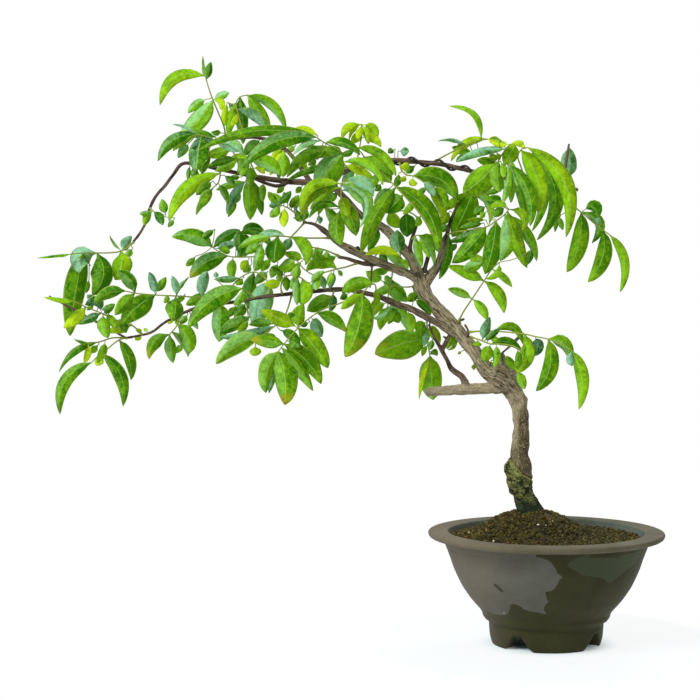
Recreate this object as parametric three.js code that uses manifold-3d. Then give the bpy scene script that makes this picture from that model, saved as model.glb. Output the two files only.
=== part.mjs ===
// A Japanese wisteria bonsai that leans far out to the left of its round clay pot.
// Millimetres, +Z up, +X to the right, the front faces -Y. The origin lies on the table
// under the middle of the whole plant; the pot stands to the right of it.
import * as THREE from 'three';
import { mergeVertices } from 'three/addons/utils/BufferGeometryUtils.js';
import Module from 'manifold-3d';

const wasm = await Module();
wasm.setup();

// Place of the pot and of the point that the plant is looked at from
const potAxisX = 192.3;
const eyeX = potAxisX - 196;
const eyeDistance = 1800;
const eyeHeight = 369;
const readingFloor = 12.5;

// Clearance between pieces that touch
const gap = 0.3;

// Sides of a limb: a few for a twig, more for the trunk
const fewestSides = 5;
const mostSides = 8;
const widthPerSide = 5;

// Pot: a bowl with a flat lip on a ring of four feet
const rimRadius = 117.6;
const rimHeight = 112;
const lipThickness = 7;
const mouthRadius = 98;
const wallThickness = 7;
const floorUnderside = 21;
const floorThickness = 9;
const drainRadius = 12;
const footRingOuter = 54.2;
const footRingInner = 42;
// Outline of half a foot notch as [distance from its middle, height], from below upward
const notchOutline = [[16, -2], [16, 0], [13, 2.5], [8, 9], [5, 13.5], [2.2, 15.5]];
const notchDepth = 40;
const notchAngles = [-36.5, 53.5, 143.5, 233.5];
const potSides = 32;

// Soil
const soilEdgeHeight = 104.5;
const moundHeight = 26.5;
const moundSpread = 50;
const moundPower = 2.6;
const soilSides = 20;
const moundX = -12;

// Drain cover: a square of plastic mesh and the wire that holds it down
const meshSize = 38;
const meshThickness = 1;
const meshHoles = 4;
const meshHoleSize = 6;
const meshPitch = 9;
const staplePinch = 4.5;
const stapleReach = 17;
const stapleY = 4.5;
const stapleWire = 1.5;
const stapleBend = 1.6;
const stapleSteps = 22;
const stapleCorners = 3;

// Leaves
const bladeThickness = 0.7;
const bladeRootWidth = 1.1;
// A blade is folded along its midrib, which stands toward the eye
const bladeFold = -0.38;
const stalkWidth = 1.7;
const stalkTipWidth = 1.2;
const stalkEndStep = 0.08;
const stalkSides = 3;

// Training wire round the upper right branch
const trainingWire = 2.4;
const wireSides = 5;
const stepsPerTurn = 9;
const wirePitch = 27;
const wireStart = 0.22;
const wireEnd = 0.60;

// Wood: each limb is a run of points [x, height, depth, width].
// x counts from the pot's axis, heights and x are as seen from the eye on the plane through
// that axis, and depth is how far the point lies behind that plane, or in front if negative.
const limbs = {
  root_crown: [[-13, 106, 0, 20], [-13, 122, 0, 34], [-15, 138, 0, 29], [-18, 148, 0, 22]],
  root_left: [[-15, 130, 0, 14], [-36, 122, -6, 10], [-56, 112, -12, 6]],
  root_right: [[-12, 130, 0, 14], [12, 122, 8, 10], [34, 112, 14, 6]],
  root_front: [[-14, 130, 0, 13], [-10, 121, -24, 9], [-6, 110, -44, 5]],
  root_back: [[-14, 130, 0, 13], [-20, 121, 24, 9], [-22, 112, 44, 5]],
  trunk: [[-15.5, 140, 0, 27], [-19, 150, 0, 22], [-23, 160, 0, 20], [-27, 174, 0, 25], [-27, 187, 0, 27],
    [-26.6, 200, 0, 18.5], [-25.4, 215, 0, 16.3], [-25, 230, 0, 15.3], [-27.6, 252, 0, 17.4],
    [-33, 264, 0, 20.5],
    [-40, 276, 0, 22], [-50, 278, 0, 20]],
  graft_lobe_left: [[-33, 180, -3, 14], [-35.5, 187, -3, 14], [-37, 193, -3, 8]],
  graft_lobe_right: [[-21, 170, -3, 12], [-19, 177, -3, 12.5], [-18.5, 184, -3, 8]],
  knuckle: [[-33, 268, -2, 20], [-45, 279, -2, 25], [-56, 281, -1, 18]],
  main_limb: [[-46, 276, 0, 20], [-58, 283, 0, 15.5], [-69, 300, 0, 14], [-82, 317, 0, 13.5],
    [-94.5, 331, 0, 14], [-106.5, 344, 0, 14], [-117.5, 357, 0, 13.5], [-124, 368, 0, 16],
    [-127, 378, 0, 14]],
  upper_left: [[-124, 368, 0, 12.5], [-129, 382, 2, 12], [-134.5, 396, 4, 11], [-146, 410, 8, 9.5],
    [-161, 426, 12, 8.6], [-187, 441, 14, 7.5], [-203, 459, 14, 6.5], [-216, 470, 13, 6.5],
    [-240, 472.5, 10, 6.2], [-262, 474, 5, 6], [-289, 478, 0, 4.6], [-308, 482, -3, 4],
    [-326, 485.5, -4, 3.8],
    [-350, 491, -6, 3.8], [-364, 491, -6, 3.6], [-373, 480, -6, 3.4], [-382, 468, -5, 3.4],
    [-390, 459, -4, 3.4],
    [-396, 447, -2, 3.2], [-401, 431, 0, 3], [-408, 419, 0, 2.8], [-413, 413, 0, 2.6]],
  upper_left_second_strand: [[-258, 472.5, 2, 4], [-268, 469, -1, 4], [-278, 471, -2, 3.4],
    [-291, 476, -1, 3.2]],
  middle_left: [[-126, 372, -1, 10], [-134, 379, -3, 9.5], [-155, 388, -8, 8.5], [-173, 395, -12, 8],
    [-186, 401, -14, 8], [-197, 406.5, -16, 8.5], [-208, 412.5, -16, 5.5], [-217, 420, -16, 5.5],
    [-223, 425, -16, 5.5], [-231, 430.5, -16, 3.4], [-243, 433, -16, 2.4]],
  middle_left_twig: [[-166, 391, -10, 4.5], [-180, 391, -14, 4], [-190, 393.5, -18, 4.2],
    [-199, 396.5, -20, 3.6],
    [-208, 398, -21, 3]],
  middle_bud: [[-187, 401, -14, 6], [-189, 408, -15, 5]],
  lower_left: [[-92, 322, -1, 9], [-102, 328, -6, 8], [-115, 335.5, -10, 7], [-135, 346, -14, 6.8],
    [-151, 351.5, -18, 6.2], [-166, 358, -21, 5.4], [-184, 362.5, -23, 5], [-203, 365.5, -24, 5],
    [-231, 364, -26, 4.4], [-258, 361, -26, 4], [-284, 358, -26, 4], [-304, 354, -26, 3.8],
    [-329, 351, -24, 3.6],
    [-344, 349, -23, 3.4], [-358, 344, -22, 3.2], [-370, 338.5, -21, 3], [-382, 332, -20, 3],
    [-394, 323, -20, 3], [-404, 320, -20, 2.8], [-420, 317, -20, 2.4]],
  cut_stub: [[-42, 268, 0, 12], [-72, 266, -1, 11.2], [-96, 264.7, -3, 10], [-113, 263.5, -4, 9.2],
    [-119.5, 263, -4, 8]],
  dead_twig: [[-79, 267, -1, 8], [-83, 277, -2, 6.5], [-95, 287, -4, 5.5], [-99, 295, -6, 4.4],
    [-105, 306, -8, 4.4],
    [-112, 318, -9, 3.2], [-117, 331, -11, 2.2]],
  dead_twig_fork: [[-104, 304, -8, 4], [-101, 311, -7, 4.6], [-97, 319, -4, 3.4]],
  upright_stub: [[-46, 278, -2, 12], [-46, 290, -3, 11], [-45.5, 300.5, -3, 10]],
  side_stub: [[-42, 276, -4, 12], [-35, 280, -7, 10.5], [-29, 283, -9, 9.5]],
  knot: [[-38, 264, -4, 8], [-42, 264, -9, 6.5]],
  right_fork: [[-121, 370, 0, 11], [-115, 380, 2, 10], [-108, 390, 5, 9], [-104, 401, 6, 8.6],
    [-101.5, 412, 8, 7.4],
    [-98.5, 422, 8, 4.4], [-96, 433, 9, 3], [-91, 445, 10, 2.6], [-86, 455, 10, 2.2]],
  right_fork_inner: [[-122, 383, 2, 5], [-118.5, 396, 5, 4.4], [-113.5, 408, 8, 3.6]],
  fork_twig: [[-134, 398, 4, 6], [-136, 406, 3, 5], [-134, 417, 1, 3.6], [-130, 427, -1, 3],
    [-127.5, 436, -2, 2.4]],
  wired: [[-212, 468, 13, 7], [-211, 478, 11, 7], [-196, 486.5, 8, 6.8], [-173, 493, 6, 6],
    [-150, 494.5, 4, 5.4],
    [-128, 493, 3, 5], [-106, 491, 2, 4.8], [-77, 484.5, 0, 4.4], [-46, 477.5, 0, 4], [-20, 474, 2, 3.6],
    [8, 469, 4, 3.2], [32, 465, 6, 2.8]],
  upper_back: [[-234, 471, 10, 5.5], [-243, 484, 16, 4.8], [-250, 494, 20, 4.4], [-258, 503, 24, 4],
    [-269, 511.5, 26, 3.8], [-290, 517.5, 26, 3.4], [-308, 516.5, 24, 3], [-321, 515, 22, 2.6]],
  hanging_twig: [[-174, 393, -12, 2.4], [-174.5, 380, -14, 2], [-176, 367, -16, 1.6]],
  side_peg: [[-80, 316, -3, 6], [-77.5, 324, -6, 3.6]],
  bud_peg: [[-90, 329, -2, 6], [-87.5, 334, -4, 3]],
};

// Leaves: the stalk is a run of points [x, height, depth] that starts on the wood. Each blade is
// [stalk point it grows from, tip x, tip height, width, bow of its midrib, turn in degrees, lean].
// Bow is to the left of the way to the tip, turn is about the midrib and lean is the tip's depth
// less the depth where the blade starts.
const leaves = {
  leaf_far_left_1: {
    stalk: [[-412, 413, 0], [-425, 404, -8], [-449, 402, -22], [-462, 402, -32], [-475, 401, -40]],
    blades: [[1, -436, 419, 7, 0, 65, 8], [1, -414, 419, 11, 0, 20, 14], [1, -431, 375, 20, 3, 15, -6],
      [2, -454, 360, 22, 9, -20, -10], [2, -467, 382, 23, -9.5, 20, -16], [3, -476, 319, 22, -2, -15, 22],
      [4, -509, 397, 8, -1, 70, 0]],
  },
  leaf_far_left_2: {
    stalk: [[-404, 320, -20], [-413, 329, -30], [-430, 335, -44], [-443, 341, -56], [-460, 348, -70],
      [-472, 354, -80]],
    blades: [[5, -502, 358, 11, -1, 65, -8], [4, -482, 327, 13, 0, 20, -12],
      [3.1, -461, 350, 12, -7, -25, -12],
      [3, -431, 351, 8, 0, 10, 8], [3.1, -468, 331, 10, -1, 30, 4], [3, -438, 317, 13, -1, -20, -6],
      [1, -436, 322, 12, -3, 15, -4]],
  },
  leaf_far_left_3: {
    stalk: [[-419, 317, -20], [-434, 317, -28], [-447, 313, -36], [-458, 312, -42]],
    blades: [[3, -472, 316, 7, 0, 60, -6], [2, -487, 283, 9, -8, 40, -14], [3, -462, 292, 10, 0, 45, 6]],
  },
  leaf_far_left_4: {
    stalk: [[-414, 318, -20], [-427, 315, -11], [-441, 304, -4], [-449, 298, 2], [-455, 292, 6]],
    blades: [[4, -486, 241, 13.5, -13, 15, 10], [2.5, -449, 289, 9, 0, 20, -4],
      [2.4, -423, 249, 13, 9.5, -15, 8],
      [1, -415, 275, 12, 4, 20, 8]],
  },
  leaf_far_left_5: {
    stalk: [[-396, 447, -2], [-393, 444, -9]],
    blades: [[1, -383, 430, 9, 1, 20, -6], [1, -406, 441, 8, 0, 40, -8], [1, -402, 430, 8, -1, -15, -12]],
  },
  leaf_left_1: {
    stalk: [[-330, 351, -24], [-340, 357, -36], [-354, 358, -46], [-370, 359, -58], [-391, 360, -72],
      [-411, 362, -84], [-421, 364, -90]],
    blades: [[6, -452, 352, 12, -4, -15, -8], [5, -428, 384, 14, -4, 15, -6],
      [5, -431, 340, 13, 0, -20, -8],
      [4, -397, 383, 10, -2, 25, -6], [4, -424, 331, 21, -3, 15, -16], [3, -374, 379, 8, -1, -20, -10],
      [3, -357, 378, 6, 0, 70, 8], [3, -373, 334, 18, 1, -15, -12], [1.3, -339, 384, 13, 1, 25, -6]],
  },
  leaf_left_2: {
    stalk: [[-292, 357, -26], [-297, 362, -46], [-304, 367, -64]],
    blades: [[2, -358, 327, 20, -9, 15, -14], [2, -312, 350, 10, 2, 30, -16]],
  },
  leaf_left_3: {
    stalk: [[-254, 361, -26], [-258, 347, -34], [-262, 338, -42], [-271, 329, -50], [-284, 319, -56],
      [-291, 310, -60]],
    blades: [[2, -249, 337, 8, 1, 30, -6], [3, -326, 318, 10, 3, 10, -10],
      [4, -330, 291, 18, -4.5, -20, -14],
      [5, -292, 299, 12, 0, 20, -4]],
  },
  leaf_left_4: {
    stalk: [[-364, 341, -21], [-367, 335, -27], [-370, 328, -31], [-377, 320, -36]],
    blades: [[3, -397, 296, 13, -7, 20, -8], [3, -373, 292, 12, 0, -20, -2],
      [2.6, -358, 298, 11, 3, 35, 10],
      [1.6, -356, 302, 16, 4, 15, -10]],
  },
  leaf_left_upper_1: {
    stalk: [[-326, 485.5, -4], [-326, 479, -14], [-328, 472, -22], [-333, 467, -28]],
    blades: [[0.6, -377, 434, 15, -12, 20, -18], [3, -345, 447, 11, -1, -20, -2],
      [3, -350, 440, 10, -3, 45, -14],
      [2, -318, 450, 8, 1, 30, 6]],
  },
  leaf_left_upper_2: {
    stalk: [[-296, 479, -1], [-301, 473, 8], [-307, 467, 15], [-312, 460, 20]],
    blades: [[1, -330, 465, 9, -2, 35, 6], [1, -319, 441, 10, -2, -25, -8], [3, -318, 438, 9, 0, 30, 4],
      [2, -314, 452, 11, 1, -10, -10], [0.4, -296, 435, 16, 0, 25, 4], [0.3, -284, 440, 11, 3, -25, 8]],
  },
  leaf_left_upper_3: {
    stalk: [[-241, 433, -16], [-250, 441, -22], [-258, 447, -27], [-268, 451, -32]],
    blades: [[3, -278, 463, 8, 0, 20, -6], [3, -255, 464, 9, 0, -25, 4], [3, -276, 438, 9, 1, 20, -8],
      [2.3, -262, 428, 9, -1, 10, -12], [1.6, -247, 460, 10, 2, -30, 8], [0.7, -251, 436, 7, 0, 30, -6],
      [1.2, -241, 452, 8, 3, 40, 10]],
  },
  leaf_left_middle_1: {
    stalk: [[-241, 433, -16], [-252, 421, -2], [-266, 408, 10], [-284, 400, 20], [-300, 398, 27],
      [-318, 399, 33], [-328, 404, 37], [-334, 408, 40]],
    blades: [[7, -374, 418, 16, -7, 15, 4], [4.3, -307, 425, 12, 0, -20, -6],
      [2.4, -309, 421, 10, -11, 30, -4],
      [5, -356, 377, 17, -6, 15, -8], [6, -316, 404, 9, 0, 30, -8], [4.7, -314, 374, 10, 0, -25, 4],
      [3, -291, 384, 10, 0, 20, 8]],
  },
  leaf_left_middle_2: {
    stalk: [[-278, 359, -26], [-277, 368, -12], [-281, 377, 2], [-292, 383, 12], [-306, 377, 20],
      [-320, 361, 27],
      [-326, 352, 30]],
    blades: [[1.6, -293, 329, 20, -2, 15, 10], [3, -296, 345, 14, -2, -20, 14],
      [6, -327, 313, 19, 0, 15, 4],
      [4, -332, 376, 8, 0, 30, -2]],
  },
  leaf_middle_low_1: {
    stalk: [[-264, 361, -26], [-265, 369, -38], [-262, 377, -48], [-252, 380, -56], [-243, 376, -62]],
    blades: [[1.6, -281, 371, 10, 1, 15, -8], [3, -255, 366, 8, 0, 30, -6],
      [3.4, -249, 350, 9, 0, -25, -12],
      [4, -245, 350, 17, 2, 15, -4], [1.8, -271, 388, 8, 0, -30, 8]],
  },
  leaf_middle_low_2: {
    stalk: [[-212, 365, -25], [-214, 359, -34], [-218, 356, -38]],
    blades: [[1, -239, 344, 16, -1, 15, -2], [0.4, -217, 343, 9, 1, 30, 10]],
  },
  leaf_hanging_1: {
    stalk: [[-190, 363.5, -24], [-196, 357, -38], [-205, 352, -50], [-220, 347, -64], [-235, 338, -76],
      [-248, 327, -86], [-262, 311, -96], [-268, 303, -100]],
    blades: [[3.6, -200, 323, 13, 3, 20, 2], [5, -242, 351, 14, 2, 15, 12], [4, -224, 318, 14, 1, -25, 10],
      [5, -218, 287, 19, 2, 15, -6], [5.8, -246, 308, 11, 2, -20, -6], [6, -225, 271, 18, 5, 15, 6],
      [6.4, -233, 264, 14, 3, -30, -4], [6, -296, 316, 13, -1, 15, 4], [7, -261, 250, 25, 3, 15, -4],
      [7, -280, 262, 17, -5, -15, 10]],
  },
  leaf_hanging_2: {
    stalk: [[-172, 360, -22], [-170, 366, -36], [-172, 371, -50], [-178, 368, -62], [-184, 361, -72]],
    blades: [[2, -204, 362, 15, -6, 20, -4], [4, -201, 298, 25, 5, 15, -8], [4, -205, 346, 10, 0, -20, -10],
      [0.8, -172, 342, 8, 1, 30, -4]],
  },
  leaf_middle_1: {
    stalk: [[-153, 387, -8], [-154, 379, 6], [-156, 368, 14], [-158, 358, 16], [-158, 348, 18]],
    blades: [[3.6, -174, 337, 10, -5, 30, -6], [4, -166, 325, 11, -2, 15, 6],
      [4, -147, 332, 12, 1, -20, -6],
      [3, -139, 325, 12, 3, 15, 4], [1, -158, 369, 12, -1, 15, 12]],
  },
  leaf_middle_2: {
    stalk: [[-119, 338, -10], [-119, 330, 6], [-118, 322, 16], [-118, 312, 22], [-117, 304, 26],
      [-116, 299, 28]],
    blades: [[0.6, -124, 318, 14, -4, 15, 14], [1.6, -122, 309, 9, -1, 30, -4],
      [1, -106, 311, 11, 2, -15, 8],
      [2.5, -171, 301, 28, -2, 12, -16], [5, -127, 256, 9, -3, 50, -6], [5, -113, 255, 23, 0, -10, -2],
      [4, -109, 299, 8, 1, 20, 10]],
  },
  leaf_middle_3: {
    stalk: [[-128, 371, 1], [-137, 368, 17], [-150, 369, 28], [-164, 374, 36]],
    blades: [[0.7, -115, 343, 12, 2, 15, 14], [3, -139, 353, 15, 2, -15, 6], [3, -180, 384, 11, 0, 20, 10],
      [2, -175, 358, 10, 0, -30, 8]],
  },
  leaf_fork_1: {
    stalk: [[-134, 416, 1], [-131, 419, -8], [-127, 420, -14]],
    blades: [[2, -108, 403, 9, 4, 15, -4], [2, -117, 397, 9, 2, -25, -2], [1, -124, 388, 9, -1, 15, -6],
      [2, -112, 389, 8, 4, 40, -10]],
  },
  leaf_fork_2: {
    stalk: [[-152, 387, -8], [-149, 393, -16], [-145, 401, -24]],
    blades: [[2, -149, 425, 15, 1, 10, -6], [1.8, -181, 400, 10, -6, 20, -16],
      [1.4, -138, 386, 7, 1, 30, -6]],
  },
  leaf_fork_3: {
    stalk: [[-173, 395, -12], [-169, 401, 2], [-162, 405, 8]],
    blades: [[2, -139, 385, 10, 1, 15, 6], [1.2, -159, 391, 9, 1, -20, 5]],
  },
  leaf_fork_4: {
    stalk: [[-127.5, 436, -2], [-133, 441, 8], [-142, 444, 16], [-152, 444, 20], [-160, 443, 22]],
    blades: [[1.8, -139, 418, 18, 0, 15, -4], [4, -147, 427, 14, 1, -15, 2]],
  },
  leaf_apex_1: {
    stalk: [[-320, 515, 22], [-322, 528, 14], [-328, 543, 6], [-333, 555, 0], [-337, 566, -4],
      [-341, 580, -6]],
    blades: [[4.6, -343, 599, 7, 0, 60, 2], [4.6, -335, 593, 9, 0, 20, -4],
      [5, -386, 550, 12.5, -15.5, 15, -8],
      [3, -366, 519, 18, 2, 15, -14], [3, -317, 562, 9, 1, -20, -6], [3, -324, 545, 9, 3, 30, -12]],
  },
  leaf_apex_2: {
    stalk: [[-300, 517.5, 25], [-305, 530, 36], [-308, 542, 42], [-310, 551, 46], [-306, 558, 48],
      [-298, 560, 50]],
    blades: [[3, -318, 518, 10, -2, 20, 6], [4, -303, 511, 13, 1, -15, 4], [2, -315, 529, 8, 0, 30, -4],
      [5, -260, 524, 10, 9, 15, 8], [5, -276, 525, 13, 1.5, -20, -4], [2.4, -280, 526, 11, 4, 20, -4]],
  },
  leaf_apex_3: {
    stalk: [[-308, 482, -3], [-308, 492, -18], [-313, 503, -32], [-323, 511, -44], [-336, 517, -52],
      [-350, 521, -58]],
    blades: [[5, -388, 494, 12, -9, 15, -10], [5, -374, 531, 6, -3, 60, -4], [5, -373, 504, 9, -2, -25, -4],
      [4.6, -350, 484, 21, -1, 15, -12], [3.6, -355, 507, 12, -1, -15, -14], [3, -303, 500, 9, 5, 20, -10],
      [2.2, -341, 499, 12, -1, 20, 6], [1.4, -338, 488, 9, -1, -20, -2], [1.5, -305, 479, 13, 4, 15, -12]],
  },
  leaf_front_1: {
    stalk: [[-209, 479, 11], [-207, 489, -20], [-203, 501, -50], [-211, 507, -60], [-221, 512, -68],
      [-230, 518, -74]],
    blades: [[5, -347, 505, 11, -13, 10, 6], [5, -304, 487, 16, -12, 15, -18],
      [4.4, -253, 500, 8, -5, 40, -10],
      [4, -186, 500, 10, 6, 15, -6], [2, -259, 478, 14, -13, 15, -14], [2, -229, 466, 27, -2, 10, -6],
      [1, -258, 475, 8, -3, -15, -12]],
  },
  leaf_front_2: {
    stalk: [[-198, 486, 8], [-201, 490, -8], [-203, 493, -18]],
    blades: [[2, -163, 470, 9, 10, 15, -14], [1, -184, 477, 9, 2, 30, -2], [0.7, -172, 475, 9, 3, -20, 4]],
  },
  leaf_front_3: {
    stalk: [[-289, 478, 0], [-293, 487, -14], [-297, 496, -26]],
    blades: [[2, -265, 480, 15, 4, 15, -2], [1, -281, 482, 9, 1, 35, -10], [2, -318, 495, 9, -3, 20, 18]],
  },
  leaf_front_4: {
    stalk: [[-253, 497, 21], [-257, 501, 10], [-262, 504, 2]],
    blades: [[2, -276, 480, 10, -1, 20, 4], [2, -263, 478, 12, 1, -15, -8], [0.6, -240, 482, 9, 1, 30, 4]],
  },
  leaf_front_5: {
    stalk: [[-180, 491, 6], [-183, 500, -14], [-190, 508, -30]],
    blades: [[2, -150, 479, 10, 8, 15, -10], [0.8, -153, 480, 12, 3, -15, -4]],
  },
  leaf_young_1: {
    stalk: [[-190, 488, 7], [-188, 500, 14], [-186, 510, 18], [-184, 522, 20], [-184, 531, 20]],
    blades: [[4, -204, 516, 9, -7, 30, -6], [4, -197, 515, 8, -5, 50, 8], [4, -188, 516, 8, -1, 20, -12],
      [4, -178, 511, 9, 3, -20, -4], [4, -171, 514, 9, 6, 15, 6], [3, -195, 511, 9, -1, 15, 10],
      [2.6, -165, 508, 9, 4, 20, -2]],
  },
  leaf_arching_1: {
    stalk: [[-211, 415, -16], [-209, 425, -38], [-206, 444, -62], [-205, 460, -78], [-205, 472, -86]],
    blades: [[4, -245, 439, 11, -17, 15, 4], [3.6, -243, 441, 9, -10, 10, 12],
      [4, -186, 428, 10, 18, 15, -8],
      [3.4, -182, 438, 9, 12, -15, 8], [2.2, -237, 437, 8, -9, 15, -10], [2, -204, 410, 16, -5, 10, -6],
      [2.6, -190, 419, 17, 3, -10, 12], [3.8, -172, 459, 13, 1, 20, 12]],
  },
  leaf_middle_left_1: {
    stalk: [[-217, 417, -17], [-240, 417, -38], [-255, 418, -52], [-268, 419, -64], [-276, 418, -70],
      [-285, 411, -74]],
    blades: [[2, -240, 391, 13, 7, 15, -2], [3, -272, 392, 20, -1, 12, -10], [4, -308, 407, 10, -3, 20, 6],
      [5, -292, 384, 11, 0, 25, -4], [2.4, -287, 421, 9, -3, 30, 12]],
  },
  leaf_middle_left_2: {
    stalk: [[-207, 399, -21], [-221, 405, -30], [-235, 408, -38], [-246, 410, -44]],
    blades: [[1.7, -229, 393, 8, 0, 25, -6], [1, -219, 397, 7, 1, -20, -6], [3, -241, 390, 9, 3, 40, 8]],
  },
  leaf_middle_left_3: {
    stalk: [[-188, 392, -17], [-200, 388, -28], [-209, 386, -36], [-220, 383, -44], [-231, 380, -52],
      [-242, 386, -60], [-251, 397, -66]],
    blades: [[2, -240, 384, 14, -9, 15, 8], [2, -204, 379, 5, 0, 20, -4], [2.5, -218, 370, 8, 0, 30, -8],
      [4, -230, 365, 10, 0, 20, -8], [3.6, -221, 366, 8, 1, -20, 8], [6, -268, 388, 13, 2, 15, 4],
      [5.5, -251, 376, 10, 0, -20, -8]],
  },
  leaf_center_1: {
    stalk: [[-171, 493, 6], [-165, 484, -10], [-150, 468, -28], [-138, 455, -38], [-125, 440, -46],
      [-112, 419, -54]],
    blades: [[2, -108, 403, 17, 13, 12, -10], [2, -185, 402, 15, -5, 12, -8],
      [2.6, -160, 442, 17, 0, 15, 14],
      [1, -186, 458, 10, 0, 25, -4], [4, -131, 429, 9, 0, 30, 8]],
  },
  leaf_center_2: {
    stalk: [[-147, 494, 4], [-144, 484, -4], [-139, 480, -8], [-133, 479, -11], [-124, 474, -15],
      [-116, 466, -18]],
    blades: [[3, -89, 455, 19, 10, 12, 4], [4, -111, 459, 10, 1, 20, -10], [5, -101, 446, 12, 5, 45, -6],
      [5, -104, 436, 13, 4, 15, 12], [1.6, -138, 492, 9, 1, 15, -8], [2, -146, 474, 7, 0, 30, -6],
      [3, -131, 469, 8, -1, -15, -8]],
  },
  leaf_top_right_1: {
    stalk: [[-114, 492, 2], [-100, 500, 10], [-90, 505, 15], [-80, 510, 20], [-68, 514, 24],
      [-58, 516, 27]],
    blades: [[4.3, -96.5, 549, 8.5, -13.5, 40, 6], [3, -108, 514, 7, -4, 55, -4],
      [5, -95, 494, 9, -8, 15, -8],
      [5, -46, 508, 8, 3, 30, 4]],
  },
  leaf_top_right_2: {
    stalk: [[-54, 479, 0], [-50, 489, -10], [-45, 499, -18], [-40, 506, -24], [-36, 511, -27]],
    blades: [[3, -90, 493, 9, -4, 15, -6], [3, -46, 516, 9, 0, 50, 2], [4, -21, 506, 6, 3, 20, -8],
      [4, -58, 516, 8, 1, 30, 6], [2, -57, 499, 8, 1, 15, -8], [1.4, -69, 495, 9, 0, 15, -4]],
  },
  leaf_top_right_3: {
    stalk: [[-20, 474, 2], [-25, 488, -22], [-28, 499, -44], [-24, 506, -58], [-18, 507.5, -66]],
    blades: [[4, 20, 418, 16, 20, 12, -14], [3.6, -31, 510, 7, -4, 30, -6], [2.8, -8, 442, 19, 8, 12, -4]],
  },
  leaf_top_right_4: {
    stalk: [[2, 470, 4], [-4, 484, -8], [-10, 496, -18], [-14, 502, -24]],
    blades: [[3, -9, 415, 15, 21, 12, -8], [0.5, -14, 424, 9, 4, 20, 20], [0.4, 9, 423, 11, 6, -20, 16],
      [0.7, -6, 463, 8, -1, 20, 6]],
  },
  leaf_right_1: {
    stalk: [[16, 468, 5], [23, 456, -2], [30, 447, -10], [35, 443, -15], [49, 431, -28], [57, 425, -34],
      [64, 420, -40]],
    blades: [[3, 21, 383, 17, 5, 12, -10], [3, 46, 412, 11, 13, 20, 10], [4.2, 53, 438, 8, -1, 30, 8],
      [5, 42, 373, 16, 7, 15, -8], [6, 74, 363, 10, 9.5, 15, 4]],
  },
  leaf_right_2: {
    stalk: [[23, 466, 5], [25, 472, 12], [23, 478, 16]],
    blades: [[2, 24, 507, 17, 0, 10, 4]],
  },
  leaf_right_3: {
    stalk: [[-40, 477, 0], [-38, 483, -20], [-38, 488, -40], [-38, 490, -54], [-36, 490, -62]],
    blades: [[4, -16, 429, 13, 9, 12, -14], [3, -44, 451, 9, 2, 30, -8], [1.6, -35, 452, 9, 2, -20, 6],
      [2, -22, 423, 11, 6, 20, 10]],
  },
  leaf_right_4: {
    stalk: [[-60, 481, 0], [-56, 487, -22], [-50, 492, -38], [-45, 494, -46]],
    blades: [[2, -83, 462, 25, 2, 10, -12], [2.6, -46, 463, 15, -2, -15, -10],
      [3, -43, 478, 8, 1, 20, -14]],
  },
  leaf_right_5: {
    stalk: [[-99, 420, 8], [-91, 423, -6], [-79, 424.5, -18], [-60, 428, -32], [-50, 434, -42],
      [-41, 441, -50],
      [-37, 446, -54]],
    blades: [[6, -57, 445, 9, -7, 30, 4], [6, -24, 424, 10, 9, 20, -8], [3, -94, 392, 18, 2, 15, 8],
      [3, -98, 413, 10, 1, 20, 22], [4, -61, 381, 19, 2, 12, -10], [5, -46, 394, 17, 7, -10, 2],
      [5.6, -19, 387, 14, -2, 15, 6], [4.8, -9.5, 394, 12, 7, 20, 14],
      [0.2, -107, 376, 10, 3, 20, -10]],
  },
  leaf_right_6: {
    stalk: [[-86, 455, 10], [-79, 461, 5], [-72, 465, 2]],
    blades: [[2, -94, 418, 23, 1, 12, 4], [2, -57, 431, 10, 7, 35, 4], [2, -60, 451, 13, 3, 15, 14],
      [1.4, -106, 444, 10, 1, -20, 10]],
  },
  leaf_right_low_1: {
    stalk: [[-88, 333, -4], [-82, 344, -14], [-74, 356, -24], [-62, 374, -38], [-54, 386, -48],
      [-46, 393, -54]],
    blades: [[2, -98, 366, 9, -2, 15, -8], [2, -59, 335, 10, 3, -15, -6], [3, -98, 389, 12, -2, 15, -6],
      [3, -42, 342, 11.5, 5, 12, -6], [4, -34, 368, 7.5, 1, 20, -4], [5, -60, 376, 8, 4, 35, -14],
      [4, -78, 402, 9, -1, 15, 16]],
  },
  leaf_right_low_2: {
    stalk: [[-77, 323, -6], [-62, 324, -14], [-47, 323.5, -22], [-22, 321, -36], [-11, 318.5, -42],
      [2, 316, -48], [14, 311, -54], [27, 304, -60]],
    blades: [[1.7, -23, 311, 9, 11, 15, 6], [3, -22, 285, 13, 4, 20, -6], [4, -12, 299, 13, 3, -10, 8],
      [5, -10, 264, 16, 8, 15, -6], [5, 24, 294, 13, 8, 12, 8], [7, 26, 289, 9, -1, -20, -8],
      [7, 33, 246, 13, 6.5, 15, -2]],
  },
  leaf_right_low_3: {
    stalk: [[-75, 318, -4], [-66, 315, -18], [-55, 311, -28], [-46, 311, -34], [-33, 309, -40],
      [-21, 302, -46]],
    blades: [[0.8, -70, 309, 9, 0, 15, -6], [1.2, -56, 338, 10, 0, 15, -2], [1.3, -46, 327, 7, -1, 20, -2],
      [2, -62, 293, 13, -1, 15, -4], [2, -24, 303, 9, 6, 15, 8],
      [5, -28, 282, 14, 0, 12, -4], [4.4, -30, 287, 8, 0, 40, -8], [2.6, -52, 287, 8, 1, 20, 4]],
  },
  leaf_stub_sprout: {
    stalk: [[-30, 282, -9], [-27, 285, -20]],
    blades: [[1, -21, 266, 10, -1, 15, -4], [1, -40, 299, 9, 1, 15, -6]],
  },
};

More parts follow.
